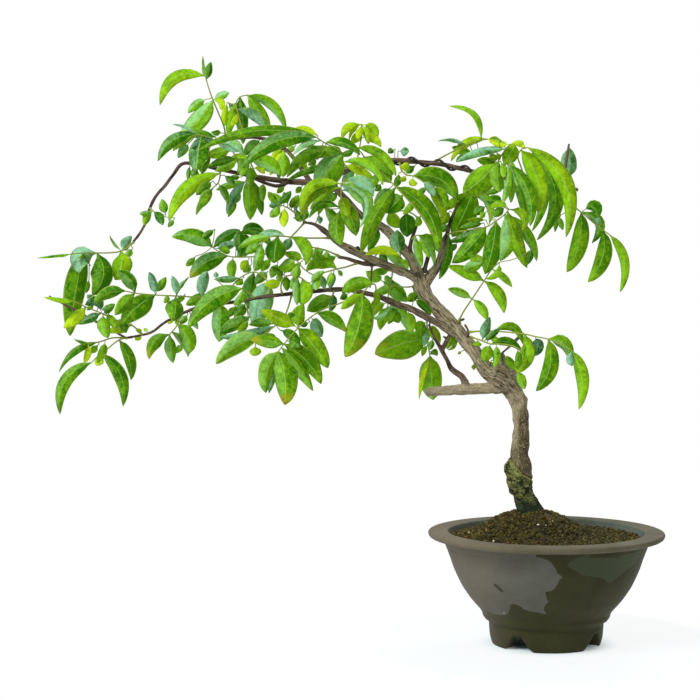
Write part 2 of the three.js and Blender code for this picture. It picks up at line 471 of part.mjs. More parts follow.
// Colours
const clay = new THREE.MeshStandardMaterial({ color: 0x5d5449, roughness: 0.75, metalness: 0 });
const earth = new THREE.MeshStandardMaterial({ color: 0x3d2a1b, roughness: 1, metalness: 0 });
const bark = new THREE.MeshStandardMaterial({ color: 0x857a68, roughness: 0.9, metalness: 0 });
const leafGreen = new THREE.MeshStandardMaterial({ color: 0x5b9a1e, roughness: 0.45, metalness: 0 });
const blackPlastic = new THREE.MeshStandardMaterial({ color: 0x20221f, roughness: 0.5, metalness: 0 });
const darkWire = new THREE.MeshStandardMaterial({ color: 0x2c2622, roughness: 0.45, metalness: 0.8 });

// Solids and meshes
function solidOf(geometry) {
  geometry.deleteAttribute('normal');
  geometry.deleteAttribute('uv');
  const merged = mergeVertices(geometry);
  const mesh = new wasm.Mesh({
    numProp: 3,
    vertProperties: new Float32Array(merged.attributes.position.array),
    triVerts: new Uint32Array(merged.index.array),
  });
  return new wasm.Manifold(mesh);
}

function geometryOf(solid) {
  const mesh = solid.getMesh();
  const geometry = new THREE.BufferGeometry();
  geometry.setAttribute('position', new THREE.BufferAttribute(mesh.vertProperties, 3));
  geometry.setIndex(new THREE.BufferAttribute(mesh.triVerts, 1));
  geometry.computeVertexNormals();
  return geometry;
}

function biggestBody(solid) {
  const bodies = solid.decompose();
  return bodies.reduce((biggest, body) => (body.volume() > biggest.volume() ? body : biggest));
}

function addPiece(name, solid, material) {
  const mesh = new THREE.Mesh(geometryOf(solid), material);
  mesh.name = name;
  plant.add(mesh);
}

// Moves each vertex of a geometry with a function of its old place
function reshape(geometry, place) {
  geometry.deleteAttribute('normal');
  geometry.deleteAttribute('uv');
  const merged = mergeVertices(geometry);
  const positions = merged.attributes.position;
  const vertex = new THREE.Vector3();
  for (let i = 0; i < positions.count; i += 1) {
    vertex.fromBufferAttribute(positions, i);
    const moved = place(vertex);
    positions.setXYZ(i, moved.x, moved.y, moved.z);
  }
  return merged;
}

// A point as seen on the plane through the pot's axis, slid along its sight line to its own depth
function seen(point) {
  const nearness = 1 + point.y / eyeDistance;
  const height = point.z - readingFloor;
  return new THREE.Vector3(
    eyeX + (point.x + potAxisX - eyeX) * nearness,
    point.y,
    eyeHeight + (height - eyeHeight) * nearness,
  );
}

function pointFrom([x, height, depth]) {
  return new THREE.Vector3(x, depth, height);
}

// A round tube along a run of points, as thick at each point as its width says
function tube(points, widths, sides, extraRadius) {
  const curve = new THREE.CatmullRomCurve3(points, false, 'centripetal');
  const steps = Math.max(2, points.length - 1);
  const frames = curve.computeFrenetFrames(steps, false);
  const unit = new THREE.CylinderGeometry(1, 1, 1, sides, steps);
  return reshape(unit, (vertex) => {
    const step = Math.round((vertex.y + 0.5) * steps);
    const along = curve.getUtoTmapping(step / steps);
    const place = along * (points.length - 1);
    const before = Math.min(Math.floor(place), points.length - 2);
    const width = THREE.MathUtils.lerp(widths[before], widths[before + 1], place - before);
    const radius = width / 2 + extraRadius;
    const centre = curve.getPoint(along);
    centre.addScaledVector(frames.binormals[step], vertex.x * radius);
    centre.addScaledVector(frames.normals[step], vertex.z * radius);
    return seen(centre);
  });
}

// Wood
function limb(stations, extraRadius = 0) {
  const points = stations.map(pointFrom);
  const widths = stations.map((station) => station[3]);
  const wanted = Math.round(4 + Math.max(...widths) / widthPerSide);
  const sides = THREE.MathUtils.clamp(wanted, fewestSides, mostSides);
  return solidOf(tube(points, widths, sides, extraRadius));
}

function wood(extraRadius = 0) {
  const grown = Object.values(limbs).map((stations) => limb(stations, extraRadius));
  return grown.reduce((whole, next) => whole.add(next));
}

// Training wire: a helix that touches the wired branch
function trainingHelix(extraRadius = 0) {
  const stations = limbs.wired;
  const branch = new THREE.CatmullRomCurve3(stations.map(pointFrom), false, 'centripetal');
  const stretch = branch.getLength() * (wireEnd - wireStart);
  const turns = stretch / wirePitch;
  const steps = Math.round(turns * stepsPerTurn);
  const points = [];
  for (let i = 0; i <= steps; i += 1) {
    const along = THREE.MathUtils.lerp(wireStart, wireEnd, i / steps);
    const place = branch.getUtoTmapping(along) * (stations.length - 1);
    const before = Math.floor(place);
    const width = THREE.MathUtils.lerp(stations[before][3], stations[before + 1][3], place - before);
    const angle = (i / stepsPerTurn) * Math.PI * 2;
    const reach = width / 2 + 2 * gap + trainingWire / 2;
    const tangent = branch.getTangentAt(along);
    const across = new THREE.Vector3(0, 1, 0);
    const upward = new THREE.Vector3().crossVectors(tangent, across).normalize();
    const centre = branch.getPointAt(along);
    centre.addScaledVector(across, Math.cos(angle) * reach);
    centre.addScaledVector(upward, Math.sin(angle) * reach);
    points.push(centre);
  }
  const widths = points.map(() => trainingWire);
  return solidOf(tube(points, widths, wireSides, extraRadius));
}

// Leaves
// Half the width of a blade, from 0 at its base to 1 at its tip: widest before the middle
function bladeOutline(along) {
  return Math.sin(Math.PI * along ** 0.75);
}

// How many stretches a blade needs: more when it is wide or strongly bowed
function bladeRows(width, bow) {
  if (Math.abs(bow) > 9) {
    return 4;
  }
  return width > 12 || Math.abs(bow) > 4 ? 3 : 2;
}

// A blade with four edges round its section: two margins, a ridge above and one below
function blade(start, [, tipX, tipHeight, width, bow, turn, lean]) {
  const tip = new THREE.Vector3(tipX, start.y + lean, tipHeight);
  const chord = new THREE.Vector3(tip.x - start.x, 0, tip.z - start.z);
  const sideways = new THREE.Vector3(-chord.z, 0, chord.x).normalize();
  const control = start.clone().add(tip).multiplyScalar(0.5).addScaledVector(sideways, 2 * bow);
  const midrib = new THREE.QuadraticBezierCurve3(start, control, tip);
  const towardEye = new THREE.Vector3(0, -1, 0);
  const turnAngle = THREE.MathUtils.degToRad(turn);
  const rows = bladeRows(width, bow);
  const unit = new THREE.ConeGeometry(1, 1, 4, rows);
  return reshape(unit, (vertex) => {
    const along = vertex.y + 0.5;
    const centre = midrib.getPoint(along);
    const ring = Math.hypot(vertex.x, vertex.z);
    if (ring < 1e-5) {
      return seen(centre);
    }
    const acrossPart = vertex.x / ring;
    const liftPart = -vertex.z / ring;
    const tangent = midrib.getTangent(along);
    const face = towardEye.clone().addScaledVector(tangent, -towardEye.dot(tangent)).normalize();
    const side = new THREE.Vector3().crossVectors(face, tangent);
    const turnedSide = side.clone().applyAxisAngle(tangent, turnAngle);
    const turnedFace = face.clone().applyAxisAngle(tangent, turnAngle);
    const half = Math.max((width / 2) * bladeOutline(along), bladeRootWidth / 2);
    const lift = (liftPart * bladeThickness) / 2 + Math.abs(acrossPart) * half * bladeFold;
    centre.addScaledVector(turnedSide, acrossPart * half);
    centre.addScaledVector(turnedFace, lift);
    return seen(centre);
  });
}

function leaf({ stalk, blades }) {
  const points = stalk.map(pointFrom);
  const last = points.length - 1;
  const widths = points.map((_, i) => THREE.MathUtils.lerp(stalkWidth, stalkTipWidth, i / last));
  const curve = new THREE.CatmullRomCurve3(points, false, 'centripetal');
  let whole = solidOf(tube(points, widths, stalkSides, 0));
  for (const row of blades) {
    const start = curve.getPoint(Math.min(row[0], last - stalkEndStep) / last);
    whole = whole.add(solidOf(blade(start, row)));
  }
  return whole;
}

// Pot
function potWall() {
  const wall = [
    [drainRadius, floorUnderside],
    [footRingInner + 2, floorUnderside],
    [footRingInner, 3],
    [footRingInner + 1.5, 0],
    [footRingOuter - 1.5, 0],
    [footRingOuter, 1.5],
    [56.6, 13],
    [57.2, 21.5],
    [61, 24.5],
    [63.4, 28.5],
    [65.7, 34],
    [71.8, 41],
    [80.2, 52],
    [90, 70],
    [96, 86],
    [101.3, 100],
    [103.2, rimHeight - lipThickness - 0.8],
    [rimRadius - 5.6, rimHeight - lipThickness],
    [rimRadius - 1.2, rimHeight - 5.2],
    [rimRadius, rimHeight - 2.8],
    [rimRadius - 0.8, rimHeight - 0.8],
    [rimRadius - 3.6, rimHeight],
    [mouthRadius + 2, rimHeight],
    [mouthRadius, rimHeight - 2.5],
    [96 - wallThickness + 1, 85.6],
    [88.5 - wallThickness, 67],
    [77 - wallThickness, 51],
    [60, 39],
    [50, floorUnderside + floorThickness],
    [drainRadius, floorUnderside + floorThickness],
    [drainRadius, floorUnderside],
  ];
  return solidOf(lathe(wall, potSides));
}

// A turned shape with its axis upright
function lathe(profile, sides) {
  const outline = profile.map(([radius, height]) => new THREE.Vector2(radius, height));
  const turned = new THREE.LatheGeometry(outline, sides);
  turned.rotateX(Math.PI / 2);
  return turned;
}

function footNotch(angle) {
  const shape = new THREE.Shape();
  const leftHalf = notchOutline.map(([half, height]) => new THREE.Vector2(-half, height)).reverse();
  const rightHalf = notchOutline.map(([half, height]) => new THREE.Vector2(half, height));
  shape.setFromPoints([...rightHalf, ...leftHalf]);
  const cut = new THREE.ExtrudeGeometry(shape, { depth: notchDepth, bevelEnabled: false });
  cut.rotateX(Math.PI / 2);
  cut.translate(0, -30, 0);
  cut.rotateZ(THREE.MathUtils.degToRad(angle));
  return solidOf(cut);
}

function pot() {
  let whole = potWall();
  for (const angle of notchAngles) {
    whole = whole.subtract(footNotch(angle));
  }
  return whole.translate([potAxisX, 0, 0]);
}

// Soil: fills the bowl and rises to a mound at the foot of the trunk
function soil() {
  const bottom = floorUnderside + floorThickness + gap;
  const profile = [
    [0, bottom],
    [50 - gap, bottom],
    [60 - 2 * gap, 39 + 2 * gap],
    [77 - wallThickness - 2 * gap, 51 + gap],
    [88.5 - wallThickness - 2 * gap, 67 + gap],
    [96 - wallThickness + 1 - 2 * gap, 85.6 + gap],
    [mouthRadius - 3, soilEdgeHeight - 1],
    [84, soilEdgeHeight + 1],
    [62, soilEdgeHeight + 1],
    [42, soilEdgeHeight + 1],
    [22, soilEdgeHeight + 1],
    [0, soilEdgeHeight + 1],
  ];
  const filled = reshape(lathe(profile, soilSides), (vertex) => {
    const fromMound = Math.hypot(vertex.x - moundX, vertex.y);
    const isTop = vertex.z > soilEdgeHeight + 0.5;
    const rise = isTop ? moundHeight * Math.exp(-((fromMound / moundSpread) ** moundPower)) : 0;
    return new THREE.Vector3(vertex.x, vertex.y, vertex.z + rise);
  });
  return solidOf(filled).translate([potAxisX, 0, 0]);
}

// Drain cover
function drainageMesh() {
  const height = floorUnderside + floorThickness + gap + meshThickness / 2;
  let plate = solidOf(new THREE.BoxGeometry(meshSize, meshSize, meshThickness));
  for (let row = 0; row < meshHoles; row += 1) {
    for (let column = 0; column < meshHoles; column += 1) {
      const hole = new THREE.BoxGeometry(meshHoleSize, meshHoleSize, 2 * meshThickness);
      hole.translate((column - (meshHoles - 1) / 2) * meshPitch, (row - (meshHoles - 1) / 2) * meshPitch, 0);
      plate = plate.subtract(solidOf(hole));
    }
  }
  return plate.translate([potAxisX, 0, height]);
}

function meshStaple() {
  const above = floorUnderside + floorThickness + gap + meshThickness + gap + stapleWire / 2;
  const below = floorUnderside - gap - stapleWire / 2;
  const corners = [
    [-stapleReach, below],
    [-staplePinch - stapleBend, below],
    [-staplePinch, below + stapleBend],
    [-staplePinch, above - stapleBend],
    [-staplePinch + stapleBend, above],
    [staplePinch - stapleBend, above],
    [staplePinch, above - stapleBend],
    [staplePinch, below + stapleBend],
    [staplePinch + stapleBend, below],
    [stapleReach, below],
  ];
  const points = corners.map(([x, height]) => new THREE.Vector3(potAxisX + x, stapleY, height));
  const bent = new THREE.CatmullRomCurve3(points, false, 'catmullrom', 0);
  const section = new THREE.Shape();
  section.absarc(0, 0, stapleWire / 2, 0, Math.PI * 2, false);
  const settings = { steps: stapleSteps, extrudePath: bent, curveSegments: stapleCorners };
  return solidOf(new THREE.ExtrudeGeometry(section, settings));
}

// Assembly
const plant = new THREE.Group();

addPiece('pot', pot(), clay);
addPiece('drainage_mesh', drainageMesh(), blackPlastic);
addPiece('mesh_wire', meshStaple(), darkWire);
addPiece('trunk_and_branches', wood(), bark);
addPiece('training_wire', trainingHelix(), darkWire);

const woodRoom = wood(gap);
const wireRoom = trainingHelix(gap);
const coverHalf = meshSize / 2 + gap;
const coverRise = meshThickness + stapleWire + 3 * gap;
const coverBox = new THREE.BoxGeometry(2 * coverHalf, 2 * coverHalf, 2 * coverRise);
coverBox.translate(potAxisX, 0, floorUnderside + floorThickness);
const earthBody = soil().subtract(woodRoom).subtract(solidOf(coverBox));
addPiece('soil', biggestBody(earthBody), earth);

for (const [name, shape] of Object.entries(leaves)) {
  const grown = leaf(shape).subtract(woodRoom).subtract(wireRoom);
  addPiece(name, biggestBody(grown), leafGreen.clone());
}

export default plant;
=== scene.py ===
"""A Japanese wisteria bonsai that leans far to the left over its round clay pot.

Every length in the tables is in millimetres, read against the pot's axis as the eye in front of
the plant sees it. The meshes themselves are in metres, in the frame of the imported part.
"""
import math

import bpy
import numpy as np
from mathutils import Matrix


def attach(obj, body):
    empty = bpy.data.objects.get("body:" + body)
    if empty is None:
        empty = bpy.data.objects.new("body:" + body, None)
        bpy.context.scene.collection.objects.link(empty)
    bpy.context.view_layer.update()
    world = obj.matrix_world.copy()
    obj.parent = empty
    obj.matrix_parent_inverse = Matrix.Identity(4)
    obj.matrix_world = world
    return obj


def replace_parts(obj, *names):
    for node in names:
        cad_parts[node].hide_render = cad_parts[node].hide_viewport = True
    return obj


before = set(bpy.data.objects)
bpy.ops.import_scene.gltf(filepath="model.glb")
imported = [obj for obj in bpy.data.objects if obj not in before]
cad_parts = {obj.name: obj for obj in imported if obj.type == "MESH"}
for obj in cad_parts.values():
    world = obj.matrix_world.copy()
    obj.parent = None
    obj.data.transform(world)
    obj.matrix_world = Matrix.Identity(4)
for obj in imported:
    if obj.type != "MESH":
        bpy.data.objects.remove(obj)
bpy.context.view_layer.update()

MM = 0.001

# Where the plant is looked at from, in millimetres, and the mapping that the tables are read with
POT_AXIS_X = 192.3
EYE_X = POT_AXIS_X - 196
EYE_DISTANCE = 1800
EYE_HEIGHT = 369
READING_FLOOR = 12.5

# Pot
RIM_RADIUS = 117.6
RIM_HEIGHT = 112
LIP_THICKNESS = 7
MOUTH_RADIUS = 98
FLOOR_UNDERSIDE = 21
FLOOR_TOP = 30
DRAIN_RADIUS = 12
FOOT_MIDDLE = 48
FOOT_OUTER_SLOPE = 0.15
FOOT_INNER_SLOPE = 0.105
POT_STEPS = 480

# Notches in the foot: their directions in degrees, and (distance from the middle, height) of one
NOTCH_ANGLES = [-36.5, 53.5, 143.5, 233.5]
NOTCH_PROFILE = [(0, 15.5), (2.2, 15.5), (5, 13.5), (8, 9), (10.5, 5.5), (13, 2.5), (16, 0)]

# Soil
SOIL_EDGE = 104.5
MOUND_X = -15
MOUND_HEIGHT = 26
MOUND_SPREAD = 51
MOUND_POWER = 3
SOIL_RADIUS = 94.2
SOIL_STEPS = 220
GRANULES = 7000
GRAIN_BED = 0.6
WHITE_GRAINS = 0.004

# Leaves
BLADE_THICKNESS = 0.34
BLADE_FOLD = -0.42
BLADE_BREADTH = 1.05
BLADE_COLUMNS = 9
BLADE_ROWS = (9, 26)
BLADE_ROW_LENGTH = 3.2
BLADE_CURL = (-0.10, 0.16)
BLADE_WAVER = 0.04
BLADE_RIPPLE = 0.07
MIDRIB_SINK = 0.5
PETIOLULE = 2.6
PETIOLULE_HALF = 0.42
PETIOLULE_THICKNESS = 2.2
STALK_WIDTH = 1.7
STALK_TIP_WIDTH = 1.2
STALK_END_STEP = 0.08
STALK_SWELLING = 0.7
STALK_SWELLING_REACH = 4.5
LEAFLET_SETBACK = 5
LEAFLET_STALK_RADIUS = 0.5
LEAFLET_STALK_RINGS = 8
LEAFLET_STALK_SAG = 0.08
LEAFLET_TURN = 25
LEAFLET_LEAN = 6

# Training wire
WIRE_WIDTH = 2.3
WIRE_PITCH = 27
WIRE_START = 0.22
WIRE_END = 0.60
WIRE_CLEARANCE = 0.25
WIRE_STEPS_A_TURN = 28

# Wood: how finely it is built, in metres for the voxel, and where its bark changes
WOOD_VOXEL = 0.0008
LIMB_STEP = 1.3
GRAIN_SHIFT = 137
BATCH = 4000
TUBE_END = 0.4
BUD_TAPER = (0.8, 1, 1, 0.7)
THICK_LIMB = 9
TRUNK_X = -26
TRUNK_REACH = 20
TRUNK_TOP = 266
STUB_X = -88
STUB_HEIGHT = 265
CUT_FACE = (-28.5, 282, -10)

# Edge of the graft, as (x from the pot's axis, height): rootstock below it, the wisteria above
GRAFT_LINE = [(-45, 198), (-36, 197), (-32, 192), (-27, 185), (-22, 180), (-16, 177), (-8, 174)]

# Buds and stubs on the wood, as (x, height, width) of the end of each
BUDS = [(-88, 334, 2.6), (-85, 331, 2.2), (-81.5, 336, 2.6), (-81, 330.5, 2.4), (-134, 368, 3),
        (-22, 322, 3.2), (-497, 359, 2.8), (23, 511, 3.4), (-107, 312.5, 2.4), (-103, 318.5, 2.4)]

# Outlines on the clay as seen from in front, as (x, height) in the reading: the dry patch on the
# left, a paler patch on the right, the two ends of a scratch and the middles of white chips
DRY_PATCH = [(-125, 114), (-10, 101), (-10, 98), (-4, 96.5), (2, 94), (6, 91), (9, 86), (11, 81), (17, 78),
             (14, 75), (11, 70), (9, 66), (5, 64), (0, 62.5), (1, 57), (3, 53), (-1, 50), (-2, 45), (0, 41),
             (-5, 42), (-15, 43.5), (-22, 46), (-28, 50), (-33, 51.5), (-37, 50), (-36, 47), (-38, 43),
             (-40, 40), (-50, 40.5), (-60, 44), (-65, 46), (-125, 62)]
PALE_PATCH = [(21, 90), (27, 95), (33, 98), (44, 100), (44, 97), (70, 97), (78, 100), (96, 104), (90, 92),
              (80, 84), (70, 77), (66, 73), (62, 72), (57, 77), (48, 78), (36, 80), (30, 84), (24, 87)]
SCRATCH = [(-51, 70), (-44, 64)]
CHIPS = [(-26, 90), (-73, 70), (-42, 42)]
SCRATCH_REACH = 1.1
CHIP_REACH = 0.9

# Looks: light through a leaf, its side veins and their slant, how much finer the fine mottling is
# than the broad, how far the bark's fibres are drawn out, the heights in metres between which the
# foot of the rootstock gets dark, and turning lines on the clay in radians to the metre
LEAF_LIGHT_THROUGH = 0.4
SIDE_VEINS = 13.0
SIDE_VEIN_SLANT = 2.6
FINE_PER_BROAD = 5.3
FIBRE_STRETCH = 0.13
DARK_FOOT = (0.152, 0.136)
TURNING_LINES = 2600.0

# Stage: the photograph is 700 mm wide at the pot's axis, and its middle is at that height
PHOTO_WIDTH = 700
AIM_HEIGHT = 292.5
SENSOR_WIDTH = 36.0
WORLD_LIGHT = 0.5
# Painted light: how strongly the floor glows white just beyond the feet; further out it glows fully,
# washing out cast shadows
FLOOR_GLOW = 0.85
FLOOR_REACH = 6.0

# Each light: name, place, what it looks at, size and power
LIGHTS = [
    ("key", (-1.6, -1.8, 2.4), (-0.05, 0.0, 0.35), 1.4, 95.0),
    ("back", (1.0, 1.8, 2.0), (-0.1, 0.0, 0.4), 1.2, 35.0),
]

# Each limb is a run of points (x, height, depth, width)
limbs = {
    "root_crown": [(-13, 106, 0, 20), (-13, 122, 0, 34), (-15, 138, 0, 29), (-18, 148, 0, 22)],
    "root_left": [(-15, 130, 0, 14), (-36, 122, -6, 10), (-56, 112, -12, 6)],
    "root_right": [(-12, 130, 0, 14), (12, 122, 8, 10), (34, 112, 14, 6)],
    "root_front": [(-14, 130, 0, 13), (-10, 121, -24, 9), (-6, 110, -44, 5)],
    "root_back": [(-14, 130, 0, 13), (-20, 121, 24, 9), (-22, 112, 44, 5)],
    "trunk": [(-15.5, 140, 0, 27), (-19, 150, 0, 22), (-23, 160, 0, 20), (-27, 174, 0, 25),
        (-27, 187, 0, 27), (-26.6, 200, 0, 18.5), (-25.4, 215, 0, 16.3), (-25, 230, 0, 15.3),
        (-27.6, 252, 0, 17.4), (-33, 264, 0, 20.5), (-40, 276, 0, 22), (-50, 278, 0, 20)],
    "graft_lobe_left": [(-33, 180, -3, 14), (-35.5, 187, -3, 14), (-37, 193, -3, 8)],
    "graft_lobe_right": [(-21, 170, -3, 12), (-19, 177, -3, 12.5), (-18.5, 184, -3, 8)],
    "knuckle": [(-33, 268, -2, 20), (-45, 279, -2, 25), (-56, 281, -1, 18)],
    "main_limb": [(-46, 276, 0, 20), (-58, 283, 0, 15.5), (-69, 300, 0, 14), (-82, 317, 0, 13.5),
        (-94.5, 331, 0, 14), (-106.5, 344, 0, 14), (-117.5, 357, 0, 13.5), (-124, 368, 0, 16),
        (-127, 378, 0, 14)],
    "upper_left": [(-124, 368, 0, 12.5), (-129, 382, 2, 12), (-134.5, 396, 4, 11), (-146, 410, 8, 9.5),
        (-161, 426, 12, 8.6), (-187, 441, 14, 7.5), (-203, 459, 14, 6.5), (-216, 470, 13, 6.5),
        (-240, 472.5, 10, 6.2), (-262, 474, 5, 6), (-289, 478, 0, 4.6), (-308, 482, -3, 4),
        (-326, 485.5, -4, 3.8), (-350, 491, -6, 3.8), (-364, 491, -6, 3.6), (-373, 480, -6, 3.4),
        (-382, 468, -5, 3.4), (-390, 459, -4, 3.4), (-396, 447, -2, 3.2), (-401, 431, 0, 3),
        (-408, 419, 0, 2.8), (-413, 413, 0, 2.6)],
    "upper_left_second_strand": [(-258, 472.5, 2, 4), (-268, 469, -1, 4), (-278, 471, -2, 3.4),
        (-291, 476, -1, 3.2)],
    "middle_left": [(-126, 372, -1, 10), (-134, 379, -3, 9.5), (-155, 388, -8, 8.5), (-173, 395, -12, 8),
        (-186, 401, -14, 8), (-197, 406.5, -16, 8.5), (-208, 412.5, -16, 5.5), (-217, 420, -16, 5.5),
        (-223, 425, -16, 5.5), (-231, 430.5, -16, 3.4), (-243, 433, -16, 2.4)],
    "middle_left_twig": [(-166, 391, -10, 4.5), (-180, 391, -14, 4), (-190, 393.5, -18, 4.2),
        (-199, 396.5, -20, 3.6), (-208, 398, -21, 3)],
    "middle_bud": [(-187, 401, -14, 6), (-189, 408, -15, 5)],
    "lower_left": [(-92, 322, -1, 9), (-102, 328, -6, 8), (-115, 335.5, -10, 7), (-135, 346, -14, 6.8),
        (-151, 351.5, -18, 6.2), (-166, 358, -21, 5.4), (-184, 362.5, -23, 5), (-203, 365.5, -24, 5),
        (-231, 364, -26, 4.4), (-258, 361, -26, 4), (-284, 358, -26, 4), (-304, 354, -26, 3.8),
        (-329, 351, -24, 3.6), (-344, 349, -23, 3.4), (-358, 344, -22, 3.2), (-370, 338.5, -21, 3),
        (-382, 332, -20, 3), (-394, 323, -20, 3), (-404, 320, -20, 2.8), (-420, 317, -20, 2.4)],
    "cut_stub": [(-42, 268, 0, 12), (-72, 266, -1, 11.2), (-96, 264.7, -3, 10), (-113, 263.5, -4, 9.2),
        (-119.5, 263, -4, 8)],
    "dead_twig": [(-79, 267, -1, 8), (-83, 277, -2, 6.5), (-95, 287, -4, 5.5), (-99, 295, -6, 4.4),
        (-105, 306, -8, 4.4), (-112, 318, -9, 3.2), (-117, 331, -11, 2.2)],
    "dead_twig_fork": [(-104, 304, -8, 4), (-101, 311, -7, 4.6), (-97, 319, -4, 3.4)],
    "upright_stub": [(-46, 278, -2, 12), (-46, 290, -3, 11), (-45.5, 300.5, -3, 10)],
    "side_stub": [(-42, 276, -4, 12), (-35, 280, -7, 10.5), (-29, 283, -9, 9.5)],
    "knot": [(-38, 264, -4, 8), (-42, 264, -9, 6.5)],
    "right_fork": [(-121, 370, 0, 11), (-115, 380, 2, 10), (-108, 390, 5, 9), (-104, 401, 6, 8.6),
        (-101.5, 412, 8, 7.4), (-98.5, 422, 8, 4.4), (-96, 433, 9, 3), (-91, 445, 10, 2.6),
        (-86, 455, 10, 2.2)],
    "right_fork_inner": [(-122, 383, 2, 5), (-118.5, 396, 5, 4.4), (-113.5, 408, 8, 3.6)],
    "fork_twig": [(-134, 398, 4, 6), (-136, 406, 3, 5), (-134, 417, 1, 3.6), (-130, 427, -1, 3),
        (-127.5, 436, -2, 2.4)],
    "wired": [(-212, 468, 13, 7), (-211, 478, 11, 7), (-196, 486.5, 8, 6.8), (-173, 493, 6, 6),
        (-150, 494.5, 4, 5.4), (-128, 493, 3, 5), (-106, 491, 2, 4.8), (-77, 484.5, 0, 4.4),
        (-46, 477.5, 0, 4), (-20, 474, 2, 3.6), (8, 469, 4, 3.2), (32, 465, 6, 2.8)],
    "upper_back": [(-234, 471, 10, 5.5), (-243, 484, 16, 4.8), (-250, 494, 20, 4.4), (-258, 503, 24, 4),
        (-269, 511.5, 26, 3.8), (-290, 517.5, 26, 3.4), (-308, 516.5, 24, 3), (-321, 515, 22, 2.6)],
    "hanging_twig": [(-174, 393, -12, 2.4), (-174.5, 380, -14, 2), (-176, 367, -16, 1.6)],
    "side_peg": [(-80, 316, -3, 6), (-77.5, 324, -6, 3.6)],
    "bud_peg": [(-90, 329, -2, 6), (-87.5, 334, -4, 3)],
}

# How a blade looks: (warmth from blue green to yellow green, depth from light to dark, browned tip).
# The pale blue green of 'bluish' and 'pale' is partly the blade's own tint and partly a painted
# sheen, as on a blade that catches the light.
LOOKS = {
    "mid": (0.46, 0.50, 0.05),
    "rich": (0.52, 0.72, 0.05),
    "dark": (0.45, 0.85, 0.0),
    "light": (0.38, 0.22, 0.0),
    "bright": (0.56, 0.40, 0.08),
    "lime": (0.86, 0.26, 0.2),
    "yellow": (1.0, 0.20, 0.35),
    "olive": (0.80, 0.60, 0.4),
    "bluish": (0.10, 0.45, 0.0),
    "pale": (0.12, 0.06, 0.0),
    "deepblue": (0.15, 0.80, 0.0),
    "tipped": (0.48, 0.60, 0.9),
}

# How far looks vary from blade to blade, the look of a stalk, and the one of parts without a look
LOOK_SPREAD = (0.06, 0.09, 0.03)
STALK_LOOK = (0.6, 0.4, 0.0, 1.0)
NO_LOOK = (0, 0, 0, 0)

# Order of a face's corners that turns it to the other side
OTHER_WAY_ROUND = [1, 0, 3, 2]

# Painted light and shade on each blade: its left half, where the light falls, is made bluer and
# lighter by this much, and its right half as much warmer and darker
LEFT_HALF_PAINTED_LIGHT = (-0.1, -0.13, 0.0)

